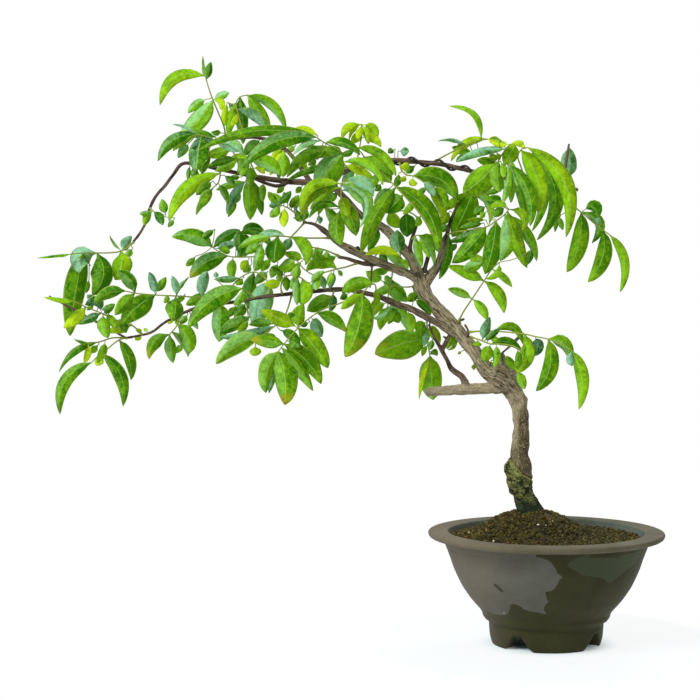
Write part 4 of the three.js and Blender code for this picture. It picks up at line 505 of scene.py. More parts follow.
# Leaflets between the big leaves, on thin stalks; two that have one base share their stalk:
# (base x, base height, tip x, tip height, width, bow, look, depth behind the plant if not usual)
leaflets = {
    "leaflets_far_left": [
        (-447, 351, -459, 360, 8, 0, "bluish"), (-452, 352, -459, 345, 6, 0, "dark"),
        (-433, 350, -444, 345, 6, 0, "bluish"), (-440, 342, -430, 328, 9, 0, "bright"),
        (-424, 336, -420, 322, 8, 0, "dark"), (-418, 336, -432, 326, 9, 0, "olive"),
        (-441, 314, -449, 292, 9, 2, "bright")],
    "leaflets_left": [
        (-390, 362, -380, 378, 8, 0, "rich"), (-369, 364, -361, 375, 5, 0, "pale"),
        (-330, 376, -330, 383, 5, 0, "bluish"), (-414, 331, -422, 336, 5, 0, "lime"),
        (-403, 321, -410, 326, 5, 0, "lime"), (-403, 321, -411, 315, 6, 0, "yellow"),
        (-398, 323, -402, 327, 4, 0, "lime"), (-370, 338, -378, 331, 4, 0, "yellow"),
        (-369, 338, -369, 330, 5, 0, "yellow"), (-338, 362, -360, 350, 10, 0, "rich"),
        (-355, 340, -348, 326, 6, 0, "bluish"), (-276, 372, -288, 330, 15, 0, "bluish"),
        (-251, 329, -285, 345, 14, 0, "olive"), (-296, 338, -326, 322, 14, 0, "dark"),
        (-297, 335, -308, 322, 9, 0, "bright"), (-300, 352, -312, 338, 12, 0, "dark"),
        (-310, 350, -316, 338, 8, 0, "bright"), (-248, 332, -257, 342, 7, 0, "dark"),
        (-266, 325, -246, 311, 10, 2, "dark"),
        (-268, 303, -277, 262, 9, 0, "deepblue", 12), (-272, 331, -297, 330, 10, -1, "rich"),
        (-268, 315, -282, 321, 8, 0, "mid"),
        (-380, 440, -384, 456, 9, 0, "mid"), (-371, 437, -378, 428, 5, 0, "mid"),
        (-331, 426, -344, 417, 7, 0, "mid"), (-413, 407, -421, 397, 7, 0, "mid"),
        (-447, 311, -456, 302, 7, 0, "bright"), (-457, 376, -460, 362, 5, 0, "rich"),
        (-358, 341, -366, 331, 7, 0, "mid"), (-350, 399, -360, 389, 7, 0, "mid"),
        (-363, 312, -371, 302, 7, 0, "mid"),
        (-361, 361, -368, 352, 7, 0, "mid"), (-376, 360, -382, 352, 6, 0, "mid"),
        (-236, 333, -245, 329, 6, 0, "rich"), (-302, 378, -310, 370, 7, 0, "rich"),
        (-294, 391, -303, 383, 8, 0, "mid")],
    "leaflets_middle": [
        (-172, 357, -171, 341, 7, 0, "olive"), (-155, 352, -174, 337, 7, 6, "light"),
        (-148, 346, -158, 331, 8, 0, "rich"), (-126, 362, -139, 354, 9, 0, "rich"),
        (-212, 384, -216, 366, 8, 0, "bluish"), (-236, 372, -222, 384, 8, 0, "light"),
        (-333, 407, -306, 425, 12, 3, "dark"), (-331, 406, -308, 412, 9, 0, "bluish"),
        (-309, 424, -312, 408, 4, 0, "pale"), (-306, 421, -281, 421, 10, 6, "dark"),
        (-306, 418, -297, 418, 5, 0, "dark"), (-297, 396, -305, 385, 9, 0, "yellow"),
        (-311, 398, -293, 407, 10, 0, "bluish"), (-262, 452, -277, 449, 8, 0, "bluish"),
        (-262, 452, -274, 462, 7, 0, "bright"), (-258, 450, -262, 463, 7, 0, "dark"),
        (-265, 449, -274, 438, 6, 0, "yellow"), (-257, 447, -247, 458, 9, 0, "bright"),
        (-250, 447, -245, 433, 7, 0, "mid"), (-243, 437, -251, 436, 6, 0, "rich"),
        (-208, 466, -232, 447, 9, -5, "mid"), (-212, 470, -236, 446, 8, 0, "mid"),
        (-218, 468, -228, 440, 8, 0, "bright"), (-222, 448, -209, 418, 12, 3, "mid"),
        (-227, 441, -226, 431, 6, 0, "bluish"), (-254, 418, -262, 404, 9, 0, "bluish"),
        (-228, 408, -229, 398, 6, 0, "bright"), (-262, 380, -275, 388, 6, 0, "mid"),
        (-262, 380, -258, 395, 8, 0, "bluish"), (-255, 382, -245, 392, 7, 0, "mid"),
        (-268, 383, -267, 372, 6, 0, "mid"),
        (-278, 384, -291, 371, 10, 0, "mid"), (-268, 392, -275, 377, 9, 0, "mid"),
        (-284, 412, -300, 402, 9, 0, "mid"), (-221, 405, -238, 398, 9, 0, "mid"),
        (-209, 399, -222, 391, 8, 0, "dark"), (-138, 345, -135, 322, 12, 0, "light", 8),
        (-132, 356, -115, 340, 9, 1, "dark"), (-155, 468, -172, 451, 12, 0, "dark"),
        (-147, 482, -150, 468, 8, 0, "mid"),
        (-242, 396, -262, 402, 9, 0, "mid"), (-260, 380, -259, 364, 8, 0, "rich"),
        (-156, 384, -173, 384, 8, 0, "mid"), (-131, 454, -143, 441, 8, 0, "mid"),
        (-275, 397, -285, 384, 8, 0, "rich"), (-130, 490, -140, 482, 7, 0, "mid"),
        (-118, 468, -128, 460, 7, 0, "mid"), (-113, 317, -116, 305, 6, 0, "mid"),
        (-118, 311, -124, 299, 6, 0, "bright"),
        (-197, 362, -206, 356, 7, 0, "mid")],
    "leaflets_top": [
        (-342, 512, -344, 481, 14, 0, "mid"), (-352, 490, -350, 474, 8, 0, "dark"),
        (-356, 490, -358, 474, 5, 0, "mid"), (-331, 514, -308, 503, 9, 0, "bluish"),
        (-338, 503, -342, 490, 8, 0, "dark"), (-292, 500, -306, 489, 8, 0, "dark"),
        (-295, 490, -297, 468, 10, 0, "mid"), (-322, 480, -311, 470, 7, 0, "mid"),
        (-319, 553, -322, 528, 7, 0, "yellow"), (-311, 552, -313, 530, 9, 0, "yellow"),
        (-305, 557, -302, 522, 9, 0, "bright"), (-318, 552, -312, 545, 5, 0, "bluish"),
        (-228, 519, -258, 520, 8, -6, "yellow"), (-228, 514, -245, 508, 6, 0, "rich"),
        (-206, 504, -236, 499, 9, -2, "dark"), (-203, 502, -214, 509, 5, 0, "rich"),
        (-225, 508, -236, 507, 4, 0, "dark"), (-262, 507, -275, 495, 8, 0, "yellow"),
        (-264, 503, -268, 476, 9, 0, "bright"), (-243, 497, -240, 480, 6, 0, "yellow"),
        (-172, 492, -155, 472, 16, 0, "bright"), (-198, 476, -172, 461, 13, 4, "pale", -26),
        (-199, 476, -180, 450, 12, 0, "light"), (-205, 460, -198, 438, 12, 0, "olive"),
        (-167, 428, -178, 404, 10, 0, "dark"), (-151, 506, -158, 502, 7, 0, "dark"),
        (-148, 504, -137, 504, 9, 0, "bluish"),
        (-330, 518, -363, 523, 9, 0, "dark"), (-285, 516, -302, 500, 12, 0, "dark"),
        (-308, 494, -331, 484, 9, 0, "mid"), (-190, 484, -204, 473, 9, 0, "pale"),
        (-357, 512, -368, 497, 9, 0, "mid"), (-333, 474, -350, 460, 10, 0, "rich"),
        (-339, 556, -358, 542, 9, -2, "light"), (-283, 473, -283, 453, 9, 0, "mid"),
        (-191, 504, -205, 500, 7, 0, "rich"), (-208, 463, -219, 452, 8, 0, "dark"),
        (-323, 522, -335, 523, 6, 0, "mid"), (-260, 470, -269, 462, 6, 0, "mid"),
        (-238, 447, -243, 435, 7, 0, "mid"), (-304, 478, -316, 478, 6, 0, "mid"),
        (-243, 470, -250, 462, 6, 0, "bright"), (-164, 472, -171, 464, 7, 0, "dark"),
        (-250, 510, -259, 503, 7, 0, "mid"), (-228, 496, -238, 490, 7, 0, "mid")],
    "leaflets_right": [
        (-66, 500, -74, 500, 5, 0, "rich"), (-50, 503, -46, 495, 5, 0, "olive"),
        (-36, 497, -28, 468, 7, 0, "light"), (-38, 490, -35, 455, 7, 0, "light"),
        (-43, 466, -60, 461, 6, 0, "mid"), (22, 463, 32, 467, 3, 0, "bluish"),
        # The narrow pale blade from (-15, 500) is a painted highlight: the lit left edge of the dark leaf
        # behind it
        (-15, 500, 0, 470, 5, 0, "pale"), (-6, 477, -5, 458, 4, 0, "olive"),
        (-96, 444, -106, 430, 10, 0, "olive"), (-97, 432, -105, 423, 7, 0, "mid"),
        (-60, 449, -72, 441, 9, 0, "dark"), (-42, 452, -60, 456, 12, 0, "dark"),
        (-60, 435, -79, 435, 5, 0, "olive"), (-62, 432, -86, 427, 7, 0, "dark"),
        (-68, 399, -77, 401, 6, 0, "bright"), (-66, 395, -76, 395, 6, 0, "bright"),
        (37, 444, 52, 437, 13, 8, "rich", -2),
        (-30, 512, -42, 490, 16, 0, "bright"), (-72, 500, -94, 508, 9, 0, "bright"),
        (-80, 500, -90, 494, 6, 0, "mid"), (-62, 392, -83, 386, 11, 0, "mid"),
        (-41, 448, -52, 438, 9, 0, "mid"), (-14, 406, -19, 390, 8, 0, "rich"),
        (13, 439, 17, 425, 6, 0, "mid"), (-88, 413, -94, 404, 6, 0, "dark"),
        (-59, 444, -66, 437, 6, 0, "mid")],
    "leaflets_low": [
        (-94, 318, -98, 305, 4, 5, "lime"), (-22, 311, -28, 285, 6, 0, "light"),
        (-58, 315, -47, 313, 7, 2, "bright"), (-55, 295, -55, 288, 4, 0, "lime"),
        (-72, 292, -72, 285, 5, 0, "olive"), (-84, 304, -88, 301, 3, 0, "yellow"),
        (-95, 320, -91, 308, 8, 0, "rich"), (-95, 320, -99, 306, 7, 0, "bright")],
}

random = np.random.default_rng(11)


# Curves
def seen(points):
    """Slides points read on the plane through the pot's axis along their sight lines to their own
    depth: each grows away from the eye by 1 + depth / eye distance. Millimetres in, metres out."""
    points = np.asarray(points, float)
    x, depth, height = points[..., 0], points[..., 1], points[..., 2]
    nearness = 1 + depth / EYE_DISTANCE
    across = EYE_X + (x + POT_AXIS_X - EYE_X) * nearness
    up = EYE_HEIGHT + (height - READING_FLOOR - EYE_HEIGHT) * nearness
    return np.stack([across, depth, up], -1) * MM


def as_read(points):
    """The other way round from seen: real points in millimetres as (x, height) in the reading."""
    nearness = 1 + points[:, 1] / EYE_DISTANCE
    x = EYE_X + (points[:, 0] - EYE_X) / nearness - POT_AXIS_X
    height = READING_FLOOR + EYE_HEIGHT + (points[:, 2] - EYE_HEIGHT) / nearness
    return np.stack([x, height], -1)


def from_table(rows):
    """Rows of (x, height, depth, ...) as points (x, depth, height)."""
    rows = np.array([row[:3] for row in rows], float)
    return rows[:, [0, 2, 1]]


def curve_points(points, places):
    """Points of a centripetal Catmull-Rom curve. Place 0 is the first given point, 1 the second and
    so on; each stretch is the cubic whose end tangents weigh chords by the root of their length."""
    places = np.atleast_1d(places).astype(float)
    before = np.clip(places.astype(int), 0, len(points) - 2)
    part = (places - before)[:, None]
    padded = np.vstack([2 * points[0] - points[1], points, 2 * points[-1] - points[-2]])
    p0, p1, p2, p3 = (padded[before + i] for i in range(4))

    def knot(a, b):
        return np.linalg.norm(b - a, axis=1)[:, None] ** 0.5

    d0, d1, d2 = knot(p0, p1), knot(p1, p2), knot(p2, p3)
    m1 = ((p1 - p0) / d0 - (p2 - p0) / (d0 + d1) + (p2 - p1) / d1) * d1
    m2 = ((p2 - p1) / d1 - (p3 - p1) / (d1 + d2) + (p3 - p2) / d2) * d1
    cubic = 2 * p1 - 2 * p2 + m1 + m2
    square = -3 * p1 + 3 * p2 - 2 * m1 - m2
    return ((cubic * part + square) * part + m1) * part + p1


def unit(vectors):
    """Vectors at length one."""
    return vectors / np.maximum(np.linalg.norm(vectors, axis=-1, keepdims=True), 1e-9)


def frames_along(centres):
    """Tangent and two sides at each centre of a path. The sides start square to the tangent and
    are carried on from ring to ring, each made square to the next tangent, so they never twist."""
    tangents = unit(np.gradient(centres, axis=0))
    first = np.array([0.0, 1.0, 0.0]) if abs(tangents[0][1]) < 0.9 else np.array([1.0, 0.0, 0.0])
    sides = []
    side = first
    for tangent in tangents:
        side = side - tangent * (side @ tangent)
        side = side / np.linalg.norm(side)
        sides.append(side)
    sides = np.array(sides)
    return tangents, sides, np.cross(tangents, sides)


def run_along(line):
    """The length of a line of points up to each of them."""
    return np.concatenate([[0], np.cumsum(np.linalg.norm(np.diff(line, axis=0), axis=1))])


# Meshes
class Shape:
    """Vertices, faces and corner values of one mesh, gathered piece by piece as whole arrays."""

    def __init__(self):
        self.points, self.faces, self.uv, self.look = [], [], [], []
        self.count = 0

    def add(self, points, faces, uv, look):
        """Adds points (n, 3), quads (m, 4), a UV per point and one look, or one per point."""
        self.points.append(points.reshape(-1, 3))
        self.faces.append(faces + self.count)
        self.uv.append(uv.reshape(-1, 2))
        self.look.append(np.broadcast_to(look, (len(points.reshape(-1, 3)), 4)))
        self.count += len(points.reshape(-1, 3))

    def build(self, name, material, smooth=True):
        """One object at the origin, with its places in its mesh."""
        points = np.vstack(self.points)
        faces = np.vstack(self.faces)
        mesh = bpy.data.meshes.new(name)
        triangles = faces[:, 2] == faces[:, 3]
        sizes = np.where(triangles, 3, 4)
        corners = faces[np.arange(4) < sizes[:, None]]
        mesh.vertices.add(len(points))
        mesh.vertices.foreach_set("co", points.ravel())
        mesh.loops.add(len(corners))
        mesh.loops.foreach_set("vertex_index", corners)
        mesh.polygons.add(len(faces))
        starts = np.concatenate([[0], np.cumsum(sizes)[:-1]])
        mesh.polygons.foreach_set("loop_start", starts)
        mesh.polygons.foreach_set("use_smooth", np.full(len(faces), smooth))
        mesh.update(calc_edges=True)
        uv = mesh.uv_layers.new(name="flow")
        uv.data.foreach_set("uv", np.vstack(self.uv)[corners].ravel())
        look = mesh.color_attributes.new("look", "FLOAT_COLOR", "POINT")
        look.data.foreach_set("color", np.vstack(self.look).ravel())
        mesh.validate()
        mesh.materials.append(material)
        piece = bpy.data.objects.new(name, mesh)
        bpy.context.collection.objects.link(piece)
        return piece


def grid_faces(rows, columns, around):
    """Quads between neighbours of a grid of rows by columns; around closes each row on itself."""
    r = np.arange(rows - 1)[:, None]
    c = np.arange(columns if around else columns - 1)[None, :]
    nxt = (c + 1) % columns
    quads = [r * columns + c, r * columns + nxt, (r + 1) * columns + nxt, (r + 1) * columns + c]
    return np.stack(np.broadcast_arrays(*quads), -1).reshape(-1, 4)


def tube(shape, centres, radii, sides, look):
    """A round tube: ring i is centre i plus its radius times the turning side vectors, and each end
    closes on a single point, a little beyond the last ring, so that it is rounded off."""
    tangents, across, upward = frames_along(centres)
    angle = np.linspace(0, 2 * np.pi, sides, endpoint=False)
    turning = angle[None, :, None]
    ring = np.cos(turning) * across[:, None] + np.sin(turning) * upward[:, None]
    wall = centres[:, None] + ring * np.asarray(radii)[:, None, None]
    low = centres[0] - tangents[0] * radii[0] * TUBE_END
    high = centres[-1] + tangents[-1] * radii[-1] * TUBE_END
    points = np.vstack([wall.reshape(-1, 3), low, high])
    quads = grid_faces(len(centres), sides, True)
    last = len(centres) * sides
    c = np.arange(sides)
    nxt = (c + 1) % sides
    foot = np.stack([nxt, c, np.full(sides, last), np.full(sides, last)], -1)
    top = (len(centres) - 1) * sides
    cap = np.stack([top + c, top + nxt, np.full(sides, last + 1), np.full(sides, last + 1)], -1)
    along = np.linspace(0, 1, len(centres))
    uv = np.stack(np.broadcast_arrays(along[:, None], (angle / (2 * np.pi))[None]), -1).reshape(-1, 2)
    uv = np.vstack([uv, [0, 0], [1, 0]])
    shape.add(seen(points), np.vstack([quads, foot, cap]), uv, look)


def noise(points, cell, seed=0):
    """Smooth value noise from 0 to 1: random values on a lattice of that cell size, mixed over the
    eight corners round each point with the weight 3t^2 - 2t^3 along each axis."""
    scaled = np.asarray(points) / cell
    base = np.floor(scaled).astype(np.int64)
    part = scaled - base
    weight = part * part * (3 - 2 * part)
    total = np.zeros(scaled.shape[:-1])
    for corner in np.ndindex(2, 2, 2):
        at = base + np.array(corner)
        mixed = at[..., 0] * 374761393 + at[..., 1] * 668265263 + at[..., 2] * 2147483647 + seed * 974711
        mixed = (mixed ^ (mixed >> 13)) * 1274126177
        value = ((mixed ^ (mixed >> 16)) & 0xFFFFFF) / 0xFFFFFF
        share = np.prod(np.where(np.array(corner) == 1, weight, 1 - weight), -1)
        total += value * share
    return total


def hump(value, middle, reach, power=2):
    """1 at the middle, falling to 0 over that reach on both sides of it."""
    return np.exp(-(((value - middle) / reach) ** power))


# Leaves
def blade(shape, start, row, look):
    """One leaflet as a thin closed shell. Its midrib is a quadratic curve from base to tip, bowed
    sideways; its half width is w / 2 * sin(pi * t^0.8)^0.62, a little uneven, and its margins
    are lifted into a shallow V with a slow ripple. The underside follows at the blade's thickness,
    and its left half is painted lighter and bluer and its right half darker, as painted light and shade."""
    tip_x, tip_height, width, bow, turn, lean = row[1:7]
    tip = np.array([tip_x, start[1] + lean, tip_height], float)
    chord = tip - start
    length = np.hypot(chord[0], chord[2])
    sideways = unit(np.array([-chord[2], 0.0, chord[0]]))
    control = (start + tip) / 2 + sideways * 2 * bow
    rows = int(np.clip(length / BLADE_ROW_LENGTH, *BLADE_ROWS))
    spread = np.linspace(-1, 1, BLADE_COLUMNS)
    along = np.linspace(0, 1, rows + 1)
    t = along[:, None]
    centre = (1 - t) ** 2 * start + 2 * t * (1 - t) * control + t**2 * tip
    tangent = unit(2 * (1 - t) * (control - start) + 2 * t * (tip - control))
    toward_eye = np.array([0.0, -1.0, 0.0])
    face = unit(toward_eye - tangent * (tangent @ toward_eye)[:, None])
    side = np.cross(face, tangent)
    phase = random.uniform(0, 2 * np.pi, 3)
    curl = random.uniform(*BLADE_CURL)
    angle = math.radians(turn) + curl * (along - 0.3) * 1.6
    cos, sin = np.cos(angle)[:, None], np.sin(angle)[:, None]
    turned_side = side * cos + face * sin
    turned_face = face * cos - side * sin

    stem = min(PETIOLULE / max(length, 1), 0.25)
    open_part = np.clip((along - stem) / (1 - stem), 0, 1)
    outline = np.sin(np.pi * open_part**0.8).clip(0) ** 0.62
    uneven = 1 + BLADE_WAVER * np.sin(6 * along + phase[0])
    half = np.maximum(width / 2 * outline * uneven * BLADE_BREADTH, PETIOLULE_HALF)[:, None]
    fold = np.abs(spread) ** 1.25 * half * BLADE_FOLD
    ripple = np.sin(9 * t + phase[1] + 1.5 * np.sign(spread)) * spread**2 * half * BLADE_RIPPLE
    midrib = (1 - np.abs(spread)) ** 3 * open_part[:, None].clip(0, 0.4) * MIDRIB_SINK
    lift = fold + ripple - midrib
    middle = centre[:, None] + turned_side[:, None] * (half * spread)[..., None]
    middle = middle + turned_face[:, None] * lift[..., None]
    stem_or_blade = np.where(open_part > 0, 1, PETIOLULE_THICKNESS)[:, None]
    thickness = BLADE_THICKNESS * (1 - spread**4) * stem_or_blade
    front = middle + turned_face[:, None] * (thickness / 2)[..., None]
    back = middle - turned_face[:, None] * (thickness / 2)[..., None]
    loop = np.concatenate([front, back[:, -2:0:-1]], 1)

    count = loop.shape[1]
    last = BLADE_COLUMNS - 1
    c = np.arange(last)
    cap = np.stack([c, c + 1, count - c - 1, (count - c) % count], -1)
    cap[0] = (0, 1, count - 1, count - 1)
    cap[-1] = (last - 1, last, last + 1, last + 1)
    wall_and_tip = np.vstack([grid_faces(rows + 1, count, True), cap + rows * count])
    faces = np.vstack([wall_and_tip[:, OTHER_WAY_ROUND], cap])
    across = np.concatenate([spread, spread[-2:0:-1]])
    uv = np.stack(np.broadcast_arrays(t, (across / 2 + 0.5)[None]), -1)
    # Painted light and shade: 1 across the blade's left half, where the light falls, -1 across its right
    # half
    painted_light_side = np.clip(-6 * np.sign(turned_side[:, :1]) * across, -1, 1)
    looks = np.zeros((*loop.shape[:2], 4))
    looks[..., :3] = look + painted_light_side[..., None] * LEFT_HALF_PAINTED_LIGHT
    shape.add(seen(loop), faces, uv, looks.clip(0, 1).reshape(-1, 4))


def look_near(word):
    """The look that a word stands for, a little varied from blade to blade."""
    return (np.array(LOOKS[word]) + random.normal(0, LOOK_SPREAD)).clip(0, 1)


def leaf(name, plan):
    """A compound leaf: a tapering stalk, swollen where it joins the wood, and its blades."""
    stalk, blades = plan
    shape = Shape()
    points = from_table(stalk)
    last = len(points) - 1
    places = np.linspace(0, last, last * 8 + 1)
    centres = curve_points(points, places)
    width = np.interp(places, [0, last], [STALK_WIDTH, STALK_TIP_WIDTH])
    reach = np.linalg.norm(centres - centres[0], axis=1)
    radii = width / 2 * (1 + STALK_SWELLING * hump(reach, 0, STALK_SWELLING_REACH))
    tube(shape, centres, radii, 8, STALK_LOOK)
    for row in blades:
        start = curve_points(points, min(row[0], last - STALK_END_STEP))[0]
        blade(shape, start, row, look_near(row[7] if len(row) > 7 else "mid"))
    piece = shape.build(name + "_visual", leaf_skin)
    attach(piece, "root")
    return piece


def plant_line():
    """Points close together along every stalk and limb, in reading millimetres."""
    runs = [from_table(run) for run in [stalk for stalk, _ in leaves.values()] + list(limbs.values())]
    return np.vstack([curve_points(run, np.linspace(0, len(run) - 1, 12 * len(run))) for run in runs])


def leaflet_group(name, rows):
    """Leaflets that each hang on a thin stalk from the nearest stalk or limb as the eye sees it,
    a little behind it unless the row says otherwise. Leaflets with one base share their stalk."""
    shape = Shape()
    line = plant_line()
    way = np.linspace(0, 1, LEAFLET_STALK_RINGS)[:, None]
    radii = np.full(LEAFLET_STALK_RINGS, LEAFLET_STALK_RADIUS)
    stalked = set()
    for base_x, base_height, tip_x, tip_height, width, bow, word, *behind in rows:
        joint = line[np.hypot(line[:, 0] - base_x, line[:, 2] - base_height).argmin()]
        base = np.array([base_x, joint[1] + (behind[0] if behind else LEAFLET_SETBACK), base_height])
        drop = np.array([0, 0, -LEAFLET_STALK_SAG * np.linalg.norm(base - joint)])
        if tuple(base) not in stalked:
            path = joint + (base - joint) * way + drop * np.sin(np.pi * way)
            tube(shape, path, radii, 5, STALK_LOOK)
            stalked.add(tuple(base))
        turn = random.uniform(-LEAFLET_TURN, LEAFLET_TURN)
        lean = random.uniform(-LEAFLET_LEAN, LEAFLET_LEAN)
        blade(shape, base, (0, tip_x, tip_height, width, bow, turn, lean), look_near(word))
    piece = shape.build(name, leaf_skin)
    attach(piece, "root")


# Wood
def limb_line(rows):
    """Centres along a limb's curve, in reading millimetres, and the radius at each."""
    points = from_table(rows)
    places = np.linspace(0, len(points) - 1, max(6, int(run_along(points)[-1] / LIMB_STEP)))
    widths = np.interp(places, np.arange(len(points)), [row[3] for row in rows])
    return curve_points(points, places), widths / 2


def remeshed(piece, voxel):
    """The piece's mesh as one closed skin of that voxel size, with its colour and UV layers gone."""
    joined = piece.modifiers.new("one skin", "REMESH")
    joined.mode = "VOXEL"
    joined.voxel_size = voxel
    joined.use_smooth_shade = True
    result = piece.evaluated_get(bpy.context.evaluated_depsgraph_get())
    mesh = bpy.data.meshes.new_from_object(result)
    piece.modifiers.clear()
    old = piece.data
    piece.data = mesh
    bpy.data.meshes.remove(old)
    return mesh


def read_points(source, what):
    """A mesh's vertex places or normals as an array."""
    values = np.empty(len(source) * 3, np.float32)
    source.foreach_get(what, values)
    return values.reshape(-1, 3).astype(float)


def along_limbs(points, lines):
    """For each point, in millimetres: its place in the bark as (cos a * r, sin a * r, length along),
    and the radius there, of the limb whose skin lies nearest. Points are taken a batch at a time."""
    table = []
    for number, (line, radius) in enumerate(lines):
        real = seen(line) / MM
        _, side, up = frames_along(real)
        length = run_along(real) + GRAIN_SHIFT * number
        table.append(np.column_stack([real, side, up, length, radius]))
    centres, sides, ups, lengths, radii = np.split(np.vstack(table), [3, 6, 9, 10], 1)
    nearest = np.empty(len(points), int)
    for start in range(0, len(points), BATCH):
        part = points[start:start + BATCH]
        square = (part**2).sum(1)[:, None] - 2 * part @ centres.T + (centres**2).sum(1)[None]
        nearest[start:start + BATCH] = (np.sqrt(square.clip(0)) - radii.T).argmin(1)
    offset = points - centres[nearest]
    x = (offset * sides[nearest]).sum(1)
    y = (offset * ups[nearest]).sum(1)
    radius = radii[nearest, 0]
    share = radius / np.maximum(np.hypot(x, y), 1e-6)
    return np.stack([x * share, y * share, lengths[nearest, 0]], -1), radius


def near(points, reading, size):
    """1 at a place given as (x, height, depth) in the reading, falling to 0 over that size."""
    place = seen(from_table([reading])[0]) / MM
    return hump(np.linalg.norm(points - place, axis=1), 0, size)


def bud(shape, lines, x, height, width):
    """A bud or stub: a short thick tube from the nearest limb to its end."""
    line = np.vstack([centres for centres, _ in lines])
    joint = line[np.hypot(line[:, 0] - x, line[:, 2] - height).argmin()]
    end = np.array([x, joint[1] - 1, height])
    way = np.linspace(0, 1, len(BUD_TAPER))[:, None]
    tube(shape, joint + (end - joint) * way, np.array(BUD_TAPER) * width / 2, 8, NO_LOOK)


def ridges(points, cell, seed):
    """Ridges with furrows between them: 1 - |2n - 1| of a smooth noise n."""
    return 1 - np.abs(2 * noise(points, cell, seed) - 1)


def bark(points, flow, radius):
    """For each point of the wood, how far the bark stands out in millimetres, and its look: ridge,
    moss, cut face or smooth bark, and girth. Furrows and cracks are stretched along the limb and
    lumps are coarser; all grow with the limb's radius. Below the graft the bark is cracked across
    and mossy, and the trunk and the stub are smoother than the rest. The moss value also carries
    dark speckles on the trunk: a stain in a band round it and, over its right side, stain and
    painted shade together."""
    from_axis, height = as_read(points).T
    on_trunk = np.abs(from_axis - TRUNK_X) < TRUNK_REACH
    furrow = ridges(flow / [1, 1, 4.2], 2.9, 3)
    crack = ridges(flow / [1, 1, 2.6], 1.7, 8)
    cross_crack = ridges(points / [2.2, 2.2, 1], 2.4, 21)
    lump = noise(points, 9.0, 5) - 0.5
    knob = noise(points, 4.2, 6) - 0.5
    stock_lump = noise(points, 5.0, 22) - 0.5
    old = np.clip(radius / THICK_LIMB, 0.12, 1.25)

    graft = np.interp(from_axis, *zip(*GRAFT_LINE)) + 3.0 * (noise(points, 5.0, 12) - 0.5)
    below = graft - height
    stock = np.clip(below / 5, 0, 1)
    groove = hump(below, 0, 1.6) * on_trunk
    # Partly stain and partly painted shade: dark speckles over the trunk's right side, away from the light
    stained_shaded_right_side = np.clip((from_axis + 32) / 7, 0, 1) * hump(height, 214, 35, 4)
    speckled_stain_and_shade = 0.46 * np.maximum(stained_shaded_right_side, 0.7 * hump(height, 200, 16)) * on_trunk
    moss = np.maximum(np.clip(0.5 + below / 4, 0, 1), speckled_stain_and_shade)

    trunk = (height < TRUNK_TOP) & (radius > 6)
    stub = (np.abs(from_axis - STUB_X) < 36) & (np.abs(height - STUB_HEIGHT) < 9)
    rough = np.where(trunk, 0.3, np.where(stub, 0.2, 1.0))
    trunk_smooth = np.where(trunk, np.clip((TRUNK_TOP + 2 - height) / 12, 0, 0.75), 0)
    smooth = np.where(stub, 1.0, trunk_smooth)
    cut_face = near(points, CUT_FACE, 4.2)

    limb_relief = (0.85 * (furrow - 0.6) + 0.6 * (crack - 0.6)) * rough + 2.2 * lump + 1.5 * knob
    stock_relief = (cross_crack - 0.6) + 1.2 * stock_lump
    relief = limb_relief * old + stock_relief * stock - 1.5 * groove
    ridge = np.where(stock > 0.5, cross_crack, furrow * 0.6 + crack * 0.4) * (1 - groove)
    cut_or_smooth = np.maximum(cut_face, 0.3 * smooth)
    look = np.stack([ridge, moss, cut_or_smooth, np.clip(radius / THICK_LIMB, 0, 1)], -1)
    return relief * (1 - 0.9 * cut_face), look


def wood():
    """Trunk and limbs as one skin: tubes along every limb are joined by a fine remesh, then each
    vertex moves along its normal by the bark's relief."""
    shape = Shape()
    lines = [limb_line(rows) for rows in limbs.values()]
    for line, radius in lines:
        tube(shape, line, radius, 20 if radius.max() > 5 else 12, NO_LOOK)
    for x, height, width in BUDS:
        bud(shape, lines, x, height, width)
    piece = shape.build("trunk_and_branches_visual", bark_skin)
    mesh = remeshed(piece, WOOD_VOXEL)
    points = read_points(mesh.vertices, "co") / MM
    normals = read_points(mesh.vertex_normals, "vector")
    flow, radius = along_limbs(points, lines)
    relief, look = bark(points, flow, radius)
    moved = (points + normals * relief[:, None]) * MM
    mesh.vertices.foreach_set("co", moved.astype(np.float32).ravel())
    layer = mesh.color_attributes.new("look", "FLOAT_COLOR", "POINT")
    layer.data.foreach_set("color", look.astype(np.float32).ravel())
    grain = mesh.attributes.new("grain", "FLOAT_VECTOR", "POINT")
    grain.data.foreach_set("vector", (flow * MM).astype(np.float32).ravel())
    mesh.polygons.foreach_set("use_smooth", np.ones(len(mesh.polygons), bool))
    mesh.materials.clear()
    mesh.materials.append(bark_skin)
    mesh.update()
    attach(piece, "root")
    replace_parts(piece, "trunk_and_branches")


